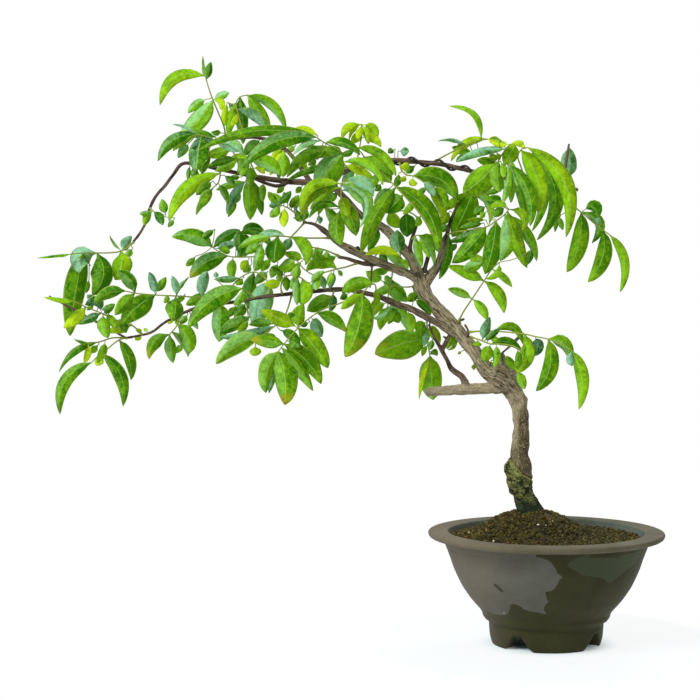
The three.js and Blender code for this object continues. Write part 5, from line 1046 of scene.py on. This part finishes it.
def training_wire():
    """Black wire wound round the upper right branch: a helix whose reach is the branch's radius,
    a little clearance and half the wire."""
    rows = limbs["wired"]
    points = from_table(rows)
    places = np.linspace(0, len(points) - 1, 800)
    run = run_along(curve_points(points, places))
    turns = run[-1] * (WIRE_END - WIRE_START) / WIRE_PITCH
    steps = int(turns * WIRE_STEPS_A_TURN)
    part = np.linspace(0, 1, steps)
    at = np.interp((WIRE_START + (WIRE_END - WIRE_START) * part) * run[-1], run, places)
    centre = curve_points(points, at)
    tangent = unit(np.gradient(centre, axis=0))
    across = np.array([0.0, 1.0, 0.0])
    upward = unit(np.cross(tangent, across))
    width = np.interp(at, np.arange(len(points)), [row[3] for row in rows])
    reach = (width / 2 + WIRE_CLEARANCE + WIRE_WIDTH / 2)[:, None]
    angle = (part * turns * 2 * np.pi)[:, None]
    helix = centre + across * np.cos(angle) * reach + upward * np.sin(angle) * reach
    shape = Shape()
    tube(shape, helix, np.full(steps, WIRE_WIDTH / 2), 12, NO_LOOK)
    piece = shape.build("training_wire_visual", wire_skin)
    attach(piece, "root")
    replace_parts(piece, "training_wire")


# Pot
def on_pot(radius, angle, height):
    """Cylinder coordinates about the pot's axis, in millimetres, as places in metres."""
    x = POT_AXIS_X + radius * np.cos(angle)
    return np.stack(np.broadcast_arrays(x, radius * np.sin(angle), height), -1) * MM


def turned(name, profile, steps, material, shift, look_of=None):
    """A closed profile of (radius, height) carried round the pot's axis in that many steps. shift
    moves each ring, and look_of gives each point its look."""
    angles = np.linspace(0, 2 * np.pi, steps, endpoint=False)
    radius = profile[:, :1] + 0 * angles
    height = profile[:, 1:] + 0 * angles
    radius, height = shift(radius, height, angles[None])
    points = on_pot(radius, angles[None], height)
    count = len(profile)
    ring = np.arange(steps)
    nxt = (ring + 1) % steps
    top = (count - 1) * steps
    seam = np.stack([top + ring, top + nxt, nxt, ring], -1)
    along = np.linspace(0, 1, count)[:, None]
    uv = np.stack(np.broadcast_arrays(angles[None] / (2 * np.pi), along), -1)
    look = look_of(points.reshape(-1, 3) / MM) if look_of else NO_LOOK
    shape = Shape()
    shape.add(points, np.vstack([grid_faces(count, steps, True), seam]), uv, look)
    piece = shape.build(name, material)
    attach(piece, "root")
    return piece


def flowing(points, count):
    """A smooth curve through (radius, height) points, as that many points."""
    points = np.array([(r, 0.0, z) for r, z in points])
    curve = curve_points(points, np.linspace(0, len(points) - 1, count))
    return curve[:, [0, 2]]


def rounded(corner_before, corner, corner_after, size, count=5):
    """A corner of a profile rounded off by a quadratic curve that starts and ends size away."""
    before, at, after = (np.array(p, float) for p in (corner_before, corner, corner_after))
    start = at + unit(before - at) * size
    end = at + unit(after - at) * size
    t = np.linspace(0, 1, count)[:, None]
    return (1 - t) ** 2 * start + 2 * t * (1 - t) * at + t**2 * end


def inside_by(spots, outline):
    """How far inside a closed outline each spot lies, in millimetres, or outside it if negative:
    the distance to the nearest side, signed by whether a line to the right crosses the outline an
    odd number of times."""
    start = np.array(outline, float)
    side = np.roll(start, -1, 0) - start
    offset = spots[:, None] - start
    part = ((offset * side).sum(-1) / (side**2).sum(-1)).clip(0, 1)
    away = np.linalg.norm(offset - part[..., None] * side, axis=-1).min(1)
    level = spots[:, 1:]
    meets = (start[:, 1] > level) != (start[:, 1] + side[:, 1] > level)
    steep = np.where(side[:, 1] == 0, 1, side[:, 1])
    crossing = start[:, 0] + (level - start[:, 1]) * side[:, 0] / steep
    odd = (meets & (spots[:, :1] < crossing)).sum(1) % 2 == 1
    return np.where(odd, away, -away)


def clay_look(points):
    """How damp the clay is (over 0.5 is damp, 0.05 more for each millimetre inside), where its
    scratch, its paler patch and its white chips lie. Only the outside below the lip is damp: in
    front all but the dry patch as the eye sees it, behind the clay low down."""
    spot = as_read(points)
    from_axis, depth, height = points[:, 0] - POT_AXIS_X, points[:, 1], points[:, 2]
    in_front = depth < 0
    damp_front = -inside_by(spot, DRY_PATCH)
    damp_back = 52 + 12 * np.sin(from_axis / 23) - height
    front = np.clip(0.5 - depth / 30, 0, 1)
    damp = 0.5 + 0.05 * (damp_front * front + damp_back * (1 - front))
    outside = np.hypot(from_axis, depth) > 40 + 0.45 * height
    damp = np.where(outside & (height < RIM_HEIGHT - LIP_THICKNESS), damp, 0).clip(0, 1)
    pale = np.clip(0.5 + 0.25 * inside_by(spot, PALE_PATCH), 0, 1) * in_front
    start, end = np.array(SCRATCH, float)
    part = ((spot - start) @ (end - start) / ((end - start) @ (end - start))).clip(0, 1)
    off = np.linalg.norm(spot - start - part[:, None] * (end - start), axis=1)
    scratch = hump(off, 0, SCRATCH_REACH) * in_front
    off_chip = np.linalg.norm(spot[:, None] - np.array(CHIPS, float), axis=-1).min(1)
    return np.stack([damp, scratch, pale, hump(off_chip, 0, CHIP_REACH) * in_front], -1)


def pot():
    """The bowl: its section is carried round the axis. Where a foot notch is, all of the section
    that is lower than the floor is squeezed up against it, so that the notch keeps one width."""
    lip = RIM_HEIGHT - LIP_THICKNESS
    outer = flowing([(61.2, 25), (63.2, 28), (64, 31), (65.7, 34), (71.8, 41), (76, 46), (80.2, 52),
                     (84.1, 58), (90, 70), (93.3, 78), (96, 86), (101.2, 99.5), (102.2, 102)], 84)
    edge = flowing([(107, lip), (112.6, lip + 0.3), (116.4, lip + 1.9), (RIM_RADIUS, lip + 4.4),
                    (RIM_RADIUS - 0.8, RIM_HEIGHT - 0.7), (RIM_RADIUS - 3.8, RIM_HEIGHT)], 16)
    inner = flowing([(MOUTH_RADIUS - 0.6, 107), (90, 85.6), (81.5, 67), (70, 51), (60, 39), (51, 31)], 20)
    section = np.vstack([
        rounded((DRAIN_RADIUS, FLOOR_TOP), (DRAIN_RADIUS, FLOOR_UNDERSIDE), (44, FLOOR_UNDERSIDE), 1.2),
        rounded((12, 21), (44, 21), (42, 3), 1.5),
        [(43.4, 16), (42.9, 11), (42.4, 6)],
        rounded((42, 3), (42, 0), (53, 0), 1.6),
        rounded((42, 0), (54, 0), (55, 5), 1.6),
        [(55.6, 6), (56.2, 9), (56.5, 12.5), (56.8, 17)],
        rounded((56.8, 17), (57.2, 22.6), (61.2, 24.8), 1.6),
        outer,
        rounded((102.2, 102), (103.2, lip), (112, lip), 1.2),
        edge,
        rounded((112, RIM_HEIGHT), (MOUTH_RADIUS, RIM_HEIGHT), (MOUTH_RADIUS - 2, 104), 2.2, 7),
        inner,
        rounded((51, 31), (49, FLOOR_TOP), (20, FLOOR_TOP), 1.2),
        rounded((49, FLOOR_TOP), (DRAIN_RADIUS, FLOOR_TOP), (DRAIN_RADIUS, FLOOR_UNDERSIDE), 1.2),
    ])

    def shift(radius, height, angle):
        notch = 0 * (radius + angle)
        for middle in np.radians(NOTCH_ANGLES):
            beside = np.abs(radius * np.sin(angle - middle))
            raised = np.interp(beside, *zip(*NOTCH_PROFILE))
            notch = np.maximum(notch, np.where(np.cos(angle - middle) > 0, raised, 0))
        low = height < FLOOR_UNDERSIDE - 0.01
        lifted = np.where(low, notch + height * (FLOOR_UNDERSIDE - notch) / FLOOR_UNDERSIDE, height)
        slope = np.where(radius > FOOT_MIDDLE, FOOT_OUTER_SLOPE, FOOT_INNER_SLOPE)
        radius = np.where(low, radius + (lifted - height) * slope, radius)
        waver = 0.10 * np.sin(2 * angle + 0.6) + 0.05 * np.sin(5 * angle + height * 0.05)
        rings = 0.07 * np.sin(height * 1.9 + 0.3 * np.sin(angle)) * (height > FLOOR_TOP)
        return radius + np.where(radius > 30, waver + rings, 0), lifted

    piece = turned("pot_visual", section, POT_STEPS, clay_skin, shift, clay_look)
    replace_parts(piece, "pot")


# Soil
def soil_height(x, y):
    """Height of the soil's surface: level, with a round mound at the foot of the trunk."""
    mound = np.hypot(x - MOUND_X, y) / MOUND_SPREAD
    return SOIL_EDGE + 1 + MOUND_HEIGHT * np.exp(-(mound**MOUND_POWER))


def soil():
    """The soil as a turned body whose top follows the mound, roughened by noise at two sizes."""
    top = np.linspace(SOIL_RADIUS, 0.4, 60)
    side = [(0.4, 30.4), (49, 30.4), (59, 40), (69, 52), (80.5, 68), (89, 87), (94.5, 102)]
    profile = np.vstack([side, np.stack([top, np.full(60, SOIL_EDGE + 1)], -1)])

    def shift(radius, height, angle):
        x, y = radius * np.cos(angle), radius * np.sin(angle)
        flat = np.stack([x, y, 0 * x], -1)
        rough = 2.4 * (noise(flat, 5.5, 31) - 0.5) + 1.5 * (noise(flat, 2.2, 32) - 0.5)
        inside = np.clip((SOIL_RADIUS - radius) / 8, 0, 1)
        level = soil_height(x, y) - 1.2 * (1 - inside) + rough - GRAIN_BED
        return radius, np.where(height > SOIL_EDGE, level, height)

    piece = turned("soil_visual", profile, SOIL_STEPS, soil_skin, shift)
    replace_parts(piece, "soil")


def icosahedron():
    """The twelve corners and twenty faces of a regular icosahedron of radius one."""
    g = (1 + 5**0.5) / 2
    corners = [(-1, g, 0), (1, g, 0), (-1, -g, 0), (1, -g, 0), (0, -1, g), (0, 1, g),
               (0, -1, -g), (0, 1, -g), (g, 0, -1), (g, 0, 1), (-g, 0, -1), (-g, 0, 1)]
    faces = [(0, 11, 5), (0, 5, 1), (0, 1, 7), (0, 7, 10), (0, 10, 11), (1, 5, 9), (5, 11, 4),
             (11, 10, 2), (10, 7, 6), (7, 1, 8), (3, 9, 4), (3, 4, 2), (3, 2, 6), (3, 6, 8),
             (3, 8, 9), (4, 9, 5), (2, 4, 11), (6, 2, 10), (8, 6, 7), (9, 8, 1)]
    faces = [(a, b, c, c) for a, b, c in faces]
    return unit(np.array(corners, float)), np.array(faces)


def granules():
    """Grains of soil strewn over its surface: dented icosahedra, each scaled unevenly, turned at
    random and sunk by a third, dark brown or ochre and now and then white; ochre ones lie mainly
    on the left."""
    corners, faces = icosahedron()
    radius = 94 * np.sqrt(random.uniform(0, 1, GRANULES))
    angle = random.uniform(0, 2 * np.pi, GRANULES)
    x, y = radius * np.cos(angle), radius * np.sin(angle)
    size = 0.6 + 1.5 * random.uniform(0, 1, GRANULES) ** 2
    dent = random.uniform(0.75, 1.2, (GRANULES, len(corners), 1))
    stretch = random.uniform(0.7, 1.15, (GRANULES, 1, 3))
    axes, _ = np.linalg.qr(random.normal(size=(GRANULES, 3, 3)))
    axes[np.linalg.det(axes) < 0] *= -1
    grains = np.einsum("nij,nkj->nki", axes, corners[None] * dent * stretch) * size[:, None, None]
    place = np.stack([x + POT_AXIS_X, y, soil_height(x, y) + 0.5 * size - GRAIN_BED], -1)
    points = (grains + place[:, None]) * MM
    tone = random.uniform(0, 1, GRANULES) * np.interp(x, [-90, 20], [1, 0.8])
    white = (random.uniform(0, 1, GRANULES) < WHITE_GRAINS).astype(float)
    look = np.stack([tone, white, random.uniform(0, 1, GRANULES), np.ones(GRANULES)], -1)
    offsets = (np.arange(GRANULES) * len(corners))[:, None, None]
    every = (faces[None] + offsets).reshape(-1, 4)
    uv = np.zeros((GRANULES * len(corners), 2))
    shape = Shape()
    shape.add(points, every, uv, np.repeat(look, len(corners), 0))
    piece = shape.build("soil_grains", soil_skin, smooth=False)
    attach(piece, "root")


# Materials
class Value:
    """An output of a shader node that can be added, taken away and multiplied like a number."""

    def __init__(self, socket):
        self.socket = socket
        self.tree = socket.id_data

    def __add__(self, other):
        return calc("ADD", self, other)

    def __sub__(self, other):
        return calc("SUBTRACT", self, other)

    def __rsub__(self, other):
        return calc("SUBTRACT", other, self)

    def __mul__(self, other):
        return calc("MULTIPLY", self, other)


def feed(node, inputs):
    """Sets a node's inputs to numbers or colours, or links them to values."""
    for name, given in inputs.items():
        if isinstance(given, Value):
            given.tree.links.new(given.socket, node.inputs[name])
        else:
            node.inputs[name].default_value = given


def put(tree, kind, settings=None, inputs=None):
    """A shader node with its settings and inputs."""
    node = tree.nodes.new("ShaderNode" + kind)
    for name, setting in (settings or {}).items():
        setattr(node, name, setting)
    feed(node, inputs or {})
    return node


def out(node, which=0):
    """One output of a node as a value."""
    return Value(node.outputs[which])


def calc(operation, first, second=0.0, clamp=False):
    """The result of a Math node, in the tree of the input that is a value."""
    tree = (first if isinstance(first, Value) else second).tree
    settings = {"operation": operation, "use_clamp": clamp}
    return out(put(tree, "Math", settings, {0: first, 1: second}))


def span(value, low, high, to_low=0.0, to_high=1.0):
    """The value mapped smoothly from low..high to to_low..to_high, and held at the ends."""
    inputs = {"Value": value, "From Min": low, "From Max": high, "To Min": to_low, "To Max": to_high}
    return out(put(value.tree, "MapRange", {"interpolation_type": "SMOOTHSTEP"}, inputs))


def mixed(factor, first, second):
    """Two colours mixed by a factor."""
    tree = next(given.tree for given in (factor, first, second) if isinstance(given, Value))
    return out(put(tree, "Mix", {"data_type": "RGBA"}, {0: factor, 6: first, 7: second}), 2)


def speckle(vector, scale, detail=3.0, rough=0.55):
    """The value of a noise texture."""
    inputs = {"Vector": vector, "Scale": scale, "Detail": detail, "Roughness": rough}
    return out(put(vector.tree, "TexNoise", None, inputs))


def mapped(vector, **how):
    """A place shifted by a Location or stretched by a Scale."""
    return out(put(vector.tree, "Mapping", None, {"Vector": vector, **how}))


def parts(value, kind="Color"):
    """The three parts of a colour, or of a place if the kind is XYZ."""
    name = "Color" if kind == "Color" else "Vector"
    node = put(value.tree, "Separate" + kind, None, {name: value})
    return [out(node, number) for number in range(3)]


def object_place(tree):
    """The place of the point that is shaded, in the object's own frame."""
    return out(put(tree, "TexCoord"), "Object")


def look_parts(tree):
    """The four values of the mesh's look."""
    look = put(tree, "Attribute", {"attribute_name": "look"})
    return (*parts(out(look, "Color")), out(look, "Alpha"))


def colour(red, green, blue):
    """A colour given as a screen shows it, 0 to 255, in linear light."""
    def linear(value):
        value = value / 255
        return value / 12.92 if value <= 0.04045 else ((value + 0.055) / 1.055) ** 2.4
    return (linear(red), linear(green), linear(blue), 1.0)


def mottle_group():
    """Blotches at two sizes: out come the blotches, spread by the contrast, and a fine height."""
    group = bpy.data.node_groups.new("mottle", "ShaderNodeTree")
    kinds = {"Vector": "NodeSocketVector", "Scale": "NodeSocketFloat", "Contrast": "NodeSocketFloat"}
    for name, kind in kinds.items():
        group.interface.new_socket(name, in_out="INPUT", socket_type=kind)
    for name in ("Blotches", "Fine"):
        group.interface.new_socket(name, in_out="OUTPUT", socket_type="NodeSocketFloat")
    source = group.nodes.new("NodeGroupInput")
    vector, scale, contrast = (out(source, name) for name in kinds)
    broad = speckle(vector, scale, 2.0)
    fine = speckle(vector, scale * FINE_PER_BROAD, 3.0)
    both = broad * 0.7 + fine * 0.3
    blotches = calc("ADD", (both - 0.5) * contrast, 0.5, clamp=True)
    feed(group.nodes.new("NodeGroupOutput"), {"Blotches": blotches, "Fine": fine})
    return group


def mottle(vector, scale, contrast):
    """The blotches and the fine height of a mottle group."""
    inputs = {"Vector": vector, "Scale": scale, "Contrast": contrast}
    node = put(vector.tree, "Group", {"node_tree": mottle_nodes}, inputs)
    return out(node, "Blotches"), out(node, "Fine")


def new_skin(name, inputs):
    """A material, its node tree and its Principled shader with constant inputs set."""
    skin = bpy.data.materials.new(name)
    skin.use_nodes = True
    shader = skin.node_tree.nodes["Principled BSDF"]
    feed(shader, inputs)
    return skin, skin.node_tree, shader


def bump(height, strength, distance, shader):
    """Links a height to the shader's normal through a Bump node."""
    inputs = {"Height": height, "Strength": strength, "Distance": distance}
    relief = out(put(height.tree, "Bump", None, inputs))
    feed(shader, {"Normal": relief})
    return relief


def surface(tree, share, first, second):
    """Two shaders mixed into the material's surface."""
    both = put(tree, "MixShader", None, {0: share, 1: out(first), 2: out(second)})
    feed(tree.nodes["Material Output"], {"Surface": out(both)})


def three_stops(value, low, middle, high):
    """A colour that goes from low by middle to high as the value goes from 0 by a half to 1."""
    first = mixed(span(value, 0.0, 0.5), colour(*low), colour(*middle))
    return mixed(span(value, 0.5, 1.0), first, colour(*high))


def leaf_material():
    """Leaf skin: from blue green to yellow green by the leaf's look, darker or lighter, with a pale
    midrib and margin, faint side veins, mottling and tips that turn yellow and brown. Blue green
    blades carry a soft sheen. Pale blue green is partly leaf colour and partly a painted sheen, and
    each blade's left half is painted lighter and its right half darker. Light shines through."""
    skin, tree, shader = new_skin("leaf", {"Specular IOR Level": 0.05, "Coat Roughness": 0.32})
    warmth, depth, browned, is_stalk = look_parts(tree)
    is_blade = 1.0 - is_stalk
    along, across, _ = parts(out(put(tree, "UVMap", {"uv_map": "flow"})), "XYZ")
    aside = calc("ABSOLUTE", across * 2.0 - 1.0)
    where = object_place(tree)
    blotches, fine = mottle(where, 70.0, 2.6)

    deep = three_stops(warmth, (27, 93, 49), (46, 118, 0), (112, 150, 0))
    # The blue green end of the pale colours is partly leaf colour and partly a painted sheen
    pale = three_stops(warmth, (168, 224, 192), (164, 220, 30), (218, 242, 30))
    uneven = (blotches - 0.5) * 0.75
    grainy = (speckle(where, 320.0, 3.0, 0.7) - 0.5) * 1.5
    shade = calc("ADD", depth, uneven + grainy, clamp=True)
    skin_colour = mixed(shade, pale, deep)

    slant = along * SIDE_VEINS - aside * SIDE_VEIN_SLANT
    wave = calc("ABSOLUTE", calc("SINE", slant * math.pi))
    side_vein = span(wave, 0.0, 0.18, 1.0, 0.0)
    midrib = span(aside, 0.02, 0.08, 1.0, 0.0)
    vein = calc("MAXIMUM", midrib, side_vein * 0.3) * is_blade
    skin_colour = mixed(vein * 0.6, skin_colour, colour(184, 212, 112))
    margin = span(aside, 0.84, 0.98) * is_blade
    skin_colour = mixed(margin * 0.8, skin_colour, colour(206, 232, 104))

    reach = along + (blotches - 0.5) * 0.5
    yellow_tip = span(reach, 0.72, 0.98) * browned
    skin_colour = mixed(yellow_tip * 0.65, skin_colour, colour(204, 190, 46))
    burnt_tip = span(reach, 0.93, 1.12) * browned
    skin_colour = mixed(burnt_tip * 0.7, skin_colour, colour(138, 96, 34))
    spots = span(speckle(where, 210.0, 2.0), 0.66, 0.74) * (browned * 0.8 + 0.22)
    skin_colour = mixed(spots, skin_colour, colour(168, 136, 30))
    stalk_colour = mixed(warmth, colour(150, 158, 84), colour(176, 182, 78))
    skin_colour = mixed(is_stalk, skin_colour, stalk_colour)
    sheen = span(warmth, 0.45, 0.1, 0.03, 0.55) * is_blade
    rough = span(fine, 0.3, 0.7, 0.42, 0.58)
    feed(shader, {"Base Color": skin_colour, "Roughness": rough, "Coat Weight": sheen})

    relief = bump(fine * 0.4 + vein * -0.8, 0.35, 0.0006, shader)
    through = mixed(0.5, skin_colour, colour(150, 215, 0))
    lit = put(tree, "BsdfTranslucent", None, {"Color": through, "Normal": relief})
    surface(tree, LEAF_LIGHT_THROUGH, shader, lit)
    return skin


def bark_material():
    """Bark: pale grey ridges and dark furrows in fine stripes along the limb, browner on thin
    twigs, mossy black green below the graft and raw pale wood on the cut face, with dark speckles
    on the trunk that over its right side are partly stain and partly painted shade. The look's third
    value is the cut face over 0.35, and below that how smooth the bark is, 0.3 being the most."""
    skin, tree, shader = new_skin("bark", {"Specular IOR Level": 0.2})
    ridge, moss, cut, girth = look_parts(tree)
    grain = out(put(tree, "Attribute", {"attribute_name": "grain"}), "Vector")
    where = object_place(tree)
    fibre = speckle(mapped(grain, Scale=(1.0, 1.0, FIBRE_STRETCH)), 700.0)
    blotches, fine = mottle(where, 85.0, 2.6)

    pores = speckle(grain, 900.0, 2.0, 0.6)
    level = ridge * 0.24 + fibre * 0.76 + (pores - 0.5) * 0.4
    even = (level - 0.6) * 0.35 + 0.6 + (pores - 0.5) * 0.25
    level = level + (even - level) * span(cut, 0.0, 0.3)
    thick = mixed(span(level, 0.40, 0.66), colour(52, 46, 30), colour(172, 160, 130))
    thick = mixed(blotches * 0.4, thick, colour(106, 94, 68))
    thin = mixed(span(level, 0.40, 0.68), colour(36, 28, 24), colour(102, 84, 68))
    skin_colour = mixed(span(girth, 0.28, 0.55), thin, thick)
    # Dark speckles where the moss value is low: stain, and on the trunk's right side painted shade too
    stain_and_painted_shade = span(moss, 0.05, 0.4) * span(pores, 0.72, 0.5)
    skin_colour = mixed(stain_and_painted_shade * 0.9, skin_colour, colour(58, 50, 22))

    shade = (blotches * 0.5 + pores * 0.5) * span(ridge, 0.97, 0.8, 0.4, 1.0)
    green = mixed(span(shade, 0.30, 0.68), colour(18, 32, 16), colour(128, 130, 72))
    foot = span(parts(where, "XYZ")[2], *DARK_FOOT)
    green = mixed(foot * 0.85, green, colour(10, 30, 18))
    skin_colour = mixed(span(moss, 0.5, 0.75), skin_colour, green)
    skin_colour = mixed(span(cut, 0.35, 0.5), skin_colour, colour(206, 180, 132))
    feed(shader, {"Base Color": skin_colour, "Roughness": span(fibre, 0.2, 0.8, 0.92, 0.7)})
    bump(fibre * 0.7 + fine * 0.4, 0.9, 0.0009, shader)
    return skin


def clay_material():
    """Unglazed clay: dull brown grey with fine turning lines and a few specks, olive dark where
    smooth damp patches lie over its right side and foot, paler in one patch, and dusty on the lip.
    Painted light makes its left side and its inner wall lighter."""
    skin, tree, shader = new_skin("clay", {"Specular IOR Level": 0.1})
    wetness, scratch, pale, chip = look_parts(tree)
    centred = mapped(object_place(tree), Location=(-POT_AXIS_X * MM, 0.0, 0.0))
    x, y, up = parts(centred, "XYZ")
    blotches, fine = mottle(centred, 42.0, 2.0)
    wall = mixed(blotches, colour(77, 77, 68), colour(93, 94, 86))
    dusty = mixed(blotches, colour(78, 74, 56), colour(102, 97, 79))
    dry = mixed(span(up, 0.104, 0.106), wall, dusty)
    # Painted light: the inner wall below the rim, which lies in shade, is made lighter
    level = out(put(tree, "CombineXYZ", None, {0: x, 1: y}))
    reach = out(put(tree, "VectorMath", {"operation": "LENGTH"}, {0: level}), "Value")
    inside = span(reach, 0.1, 0.098) * span(up, 0.1, 0.102)
    dry = mixed(inside, dry, mixed(blotches, colour(88, 96, 84), colour(112, 118, 106)))
    torn = (speckle(centred, 75.0, 4.0, 0.6) - 0.5) * 0.22
    damp = span(wetness + torn, 0.48, 0.53)
    wet = mixed(blotches, colour(42, 43, 20), colour(57, 58, 33))
    paler = span(pale + torn, 0.45, 0.58)
    wet = mixed(paler * 0.85, wet, colour(62, 70, 50))
    skin_colour = mixed(damp, dry, wet)
    # Painted light: the left side of the pot, toward the light, is made lighter
    painted_light_left_side = span(x, -0.03, -0.09)
    skin_colour = mixed(painted_light_left_side * 0.4, skin_colour, colour(124, 113, 98))
    skin_colour = mixed(scratch, skin_colour, colour(30, 27, 22))
    skin_colour = mixed(span(chip, 0.3, 0.6), skin_colour, colour(150, 150, 140))
    specks = span(speckle(centred, 900.0, 1.0), 0.66, 0.74)
    skin_colour = mixed(specks * 0.35, skin_colour, colour(58, 50, 42))
    rough = span(fine, 0.2, 0.8, 0.66, 0.8) - damp * 0.15
    feed(shader, {"Base Color": skin_colour, "Roughness": rough})

    line = calc("SINE", up * TURNING_LINES)
    grit = speckle(centred, 1400.0, 2.0)
    bump(line * 0.12 + fine * 0.5 + grit * 0.35, 0.4, 0.0005, shader)
    return skin


def soil_material():
    """Moist bonsai soil: dark olive brown, with ochre and white grains by the grain's look."""
    skin, tree, shader = new_skin("soil", {"Specular IOR Level": 0.3})
    tone, white, olive, is_grain = look_parts(tree)
    blotches, fine = mottle(object_place(tree), 240.0, 2.4)
    base = mixed(blotches, colour(8, 7, 0), colour(74, 66, 18))
    base = mixed(span(olive, 0.4, 1.0) * is_grain * 0.6, base, colour(112, 104, 40))
    base = mixed(span(tone, 0.72, 0.97) * is_grain * 0.75, base, colour(138, 100, 28))
    base = mixed(white, base, colour(222, 218, 208))
    feed(shader, {"Base Color": base, "Roughness": span(fine, 0.2, 0.8, 0.75, 0.98)})
    bump(fine, 0.9, 0.0012, shader)
    return skin


def mottled_material(name, inputs, scale, contrast, dark, light, roughness, relief):
    """A skin mottled between two colours, with roughness and relief by its fine noise."""
    skin, tree, shader = new_skin(name, inputs)
    blotches, fine = mottle(object_place(tree), scale, contrast)
    base = mixed(blotches, colour(*dark), colour(*light))
    feed(shader, {"Base Color": base, "Roughness": span(fine, 0.2, 0.8, *roughness)})
    bump(fine, *relief, shader)
    return skin


mottle_nodes = mottle_group()
leaf_skin = leaf_material()
bark_skin = bark_material()
clay_skin = clay_material()
soil_skin = soil_material()

# Black coated aluminium wire, a little scuffed
wire_skin = mottled_material("wire", {"Metallic": 0.55, "Specular IOR Level": 0.5}, 420.0, 3.0,
                             (22, 20, 20), (52, 46, 42), (0.32, 0.55), (0.2, 0.0003))

# Dark moulded plastic of the drain cover, dulled by earth
mesh_skin = mottled_material("mesh", {"Specular IOR Level": 0.4}, 180.0, 2.5,
                             (20, 22, 20), (58, 50, 40), (0.5, 0.8), (0.3, 0.0004))


# Stage
def stage():
    """A pale floor, soft studio lights and the camera where the photograph was taken from. The floor
    glows white away from the pot, painted light that washes out cast shadows, and near the feet it
    is plain and bluish, a painted bluish shade.
    """
    floor_mesh = bpy.data.meshes.new("floor")
    corners = [(-FLOOR_REACH, -FLOOR_REACH, 0), (FLOOR_REACH, -FLOOR_REACH, 0),
               (FLOOR_REACH, FLOOR_REACH, 0), (-FLOOR_REACH, FLOOR_REACH, 0)]
    floor_mesh.from_pydata(corners, [], [(0, 1, 2, 3)])
    floor = bpy.data.objects.new("floor", floor_mesh)
    bpy.context.collection.objects.link(floor)
    # The floor's bluish colour shows only near the feet, where it paints a bluish shade
    inputs = {"Base Color": (0.8, 0.95, 1.0, 1.0), "Roughness": 1.0, "Specular IOR Level": 0.0}
    skin, tree, shader = new_skin("floor", inputs)
    from_pot = mapped(object_place(tree), Location=(-POT_AXIS_X * MM, 0.0, 0.0))
    away = out(put(tree, "VectorMath", {"operation": "LENGTH"}, {0: from_pot}), "Value")
    # Painted light: the floor glows white beyond the feet, washing out the cast shadows, but not under the
    # pot
    near_feet = span(away, 0.035, 0.075, 0.0, FLOOR_GLOW)
    far = calc("MAXIMUM", near_feet, span(away, 0.07, 0.2))
    white = put(tree, "Emission", None, {"Color": (1.0, 1.0, 1.0, 1.0), "Strength": 1.0})
    surface(tree, far, shader, white)
    floor_mesh.materials.append(skin)

    world = bpy.data.worlds.new("studio")
    world.use_nodes = True
    to_camera = out(put(world.node_tree, "LightPath"), "Is Camera Ray")
    strength = to_camera * (1 - WORLD_LIGHT) + WORLD_LIGHT
    backdrop = world.node_tree.nodes["Background"]
    feed(backdrop, {"Color": (1.0, 1.0, 1.0, 1.0), "Strength": strength})
    bpy.context.scene.world = world

    for name, place, target, size, power in LIGHTS:
        light = bpy.data.lights.new(name, "AREA")
        light.shape = "DISK"
        light.size = size
        light.energy = power
        lamp = bpy.data.objects.new(name, light)
        lamp.location = place
        aim = np.array(target) - np.array(place)
        flat = math.hypot(aim[0], aim[1])
        lamp.rotation_euler = (math.atan2(flat, -aim[2]), 0, math.atan2(aim[1], aim[0]) - math.pi / 2)
        bpy.context.collection.objects.link(lamp)

    eye = bpy.data.cameras.new("eye")
    eye.sensor_width = SENSOR_WIDTH
    eye.lens = SENSOR_WIDTH * EYE_DISTANCE / PHOTO_WIDTH
    camera = bpy.data.objects.new("eye", eye)
    camera.location = np.array([EYE_X, -EYE_DISTANCE, EYE_HEIGHT]) * MM
    eye.shift_y = (AIM_HEIGHT - EYE_HEIGHT) / PHOTO_WIDTH
    camera.rotation_euler = (math.pi / 2, 0, 0)
    bpy.context.collection.objects.link(camera)
    bpy.context.scene.camera = camera
    bpy.context.scene.view_settings.view_transform = "Standard"


stage()
pot()
soil()
granules()
wood()
training_wire()
for name, plan in leaves.items():
    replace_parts(leaf(name, plan), name)
for name, rows in leaflets.items():
    leaflet_group(name, rows)

for node, skin in (("drainage_mesh", mesh_skin), ("mesh_wire", wire_skin)):
    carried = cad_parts[node]
    carried.data.materials.clear()
    carried.data.materials.append(skin)
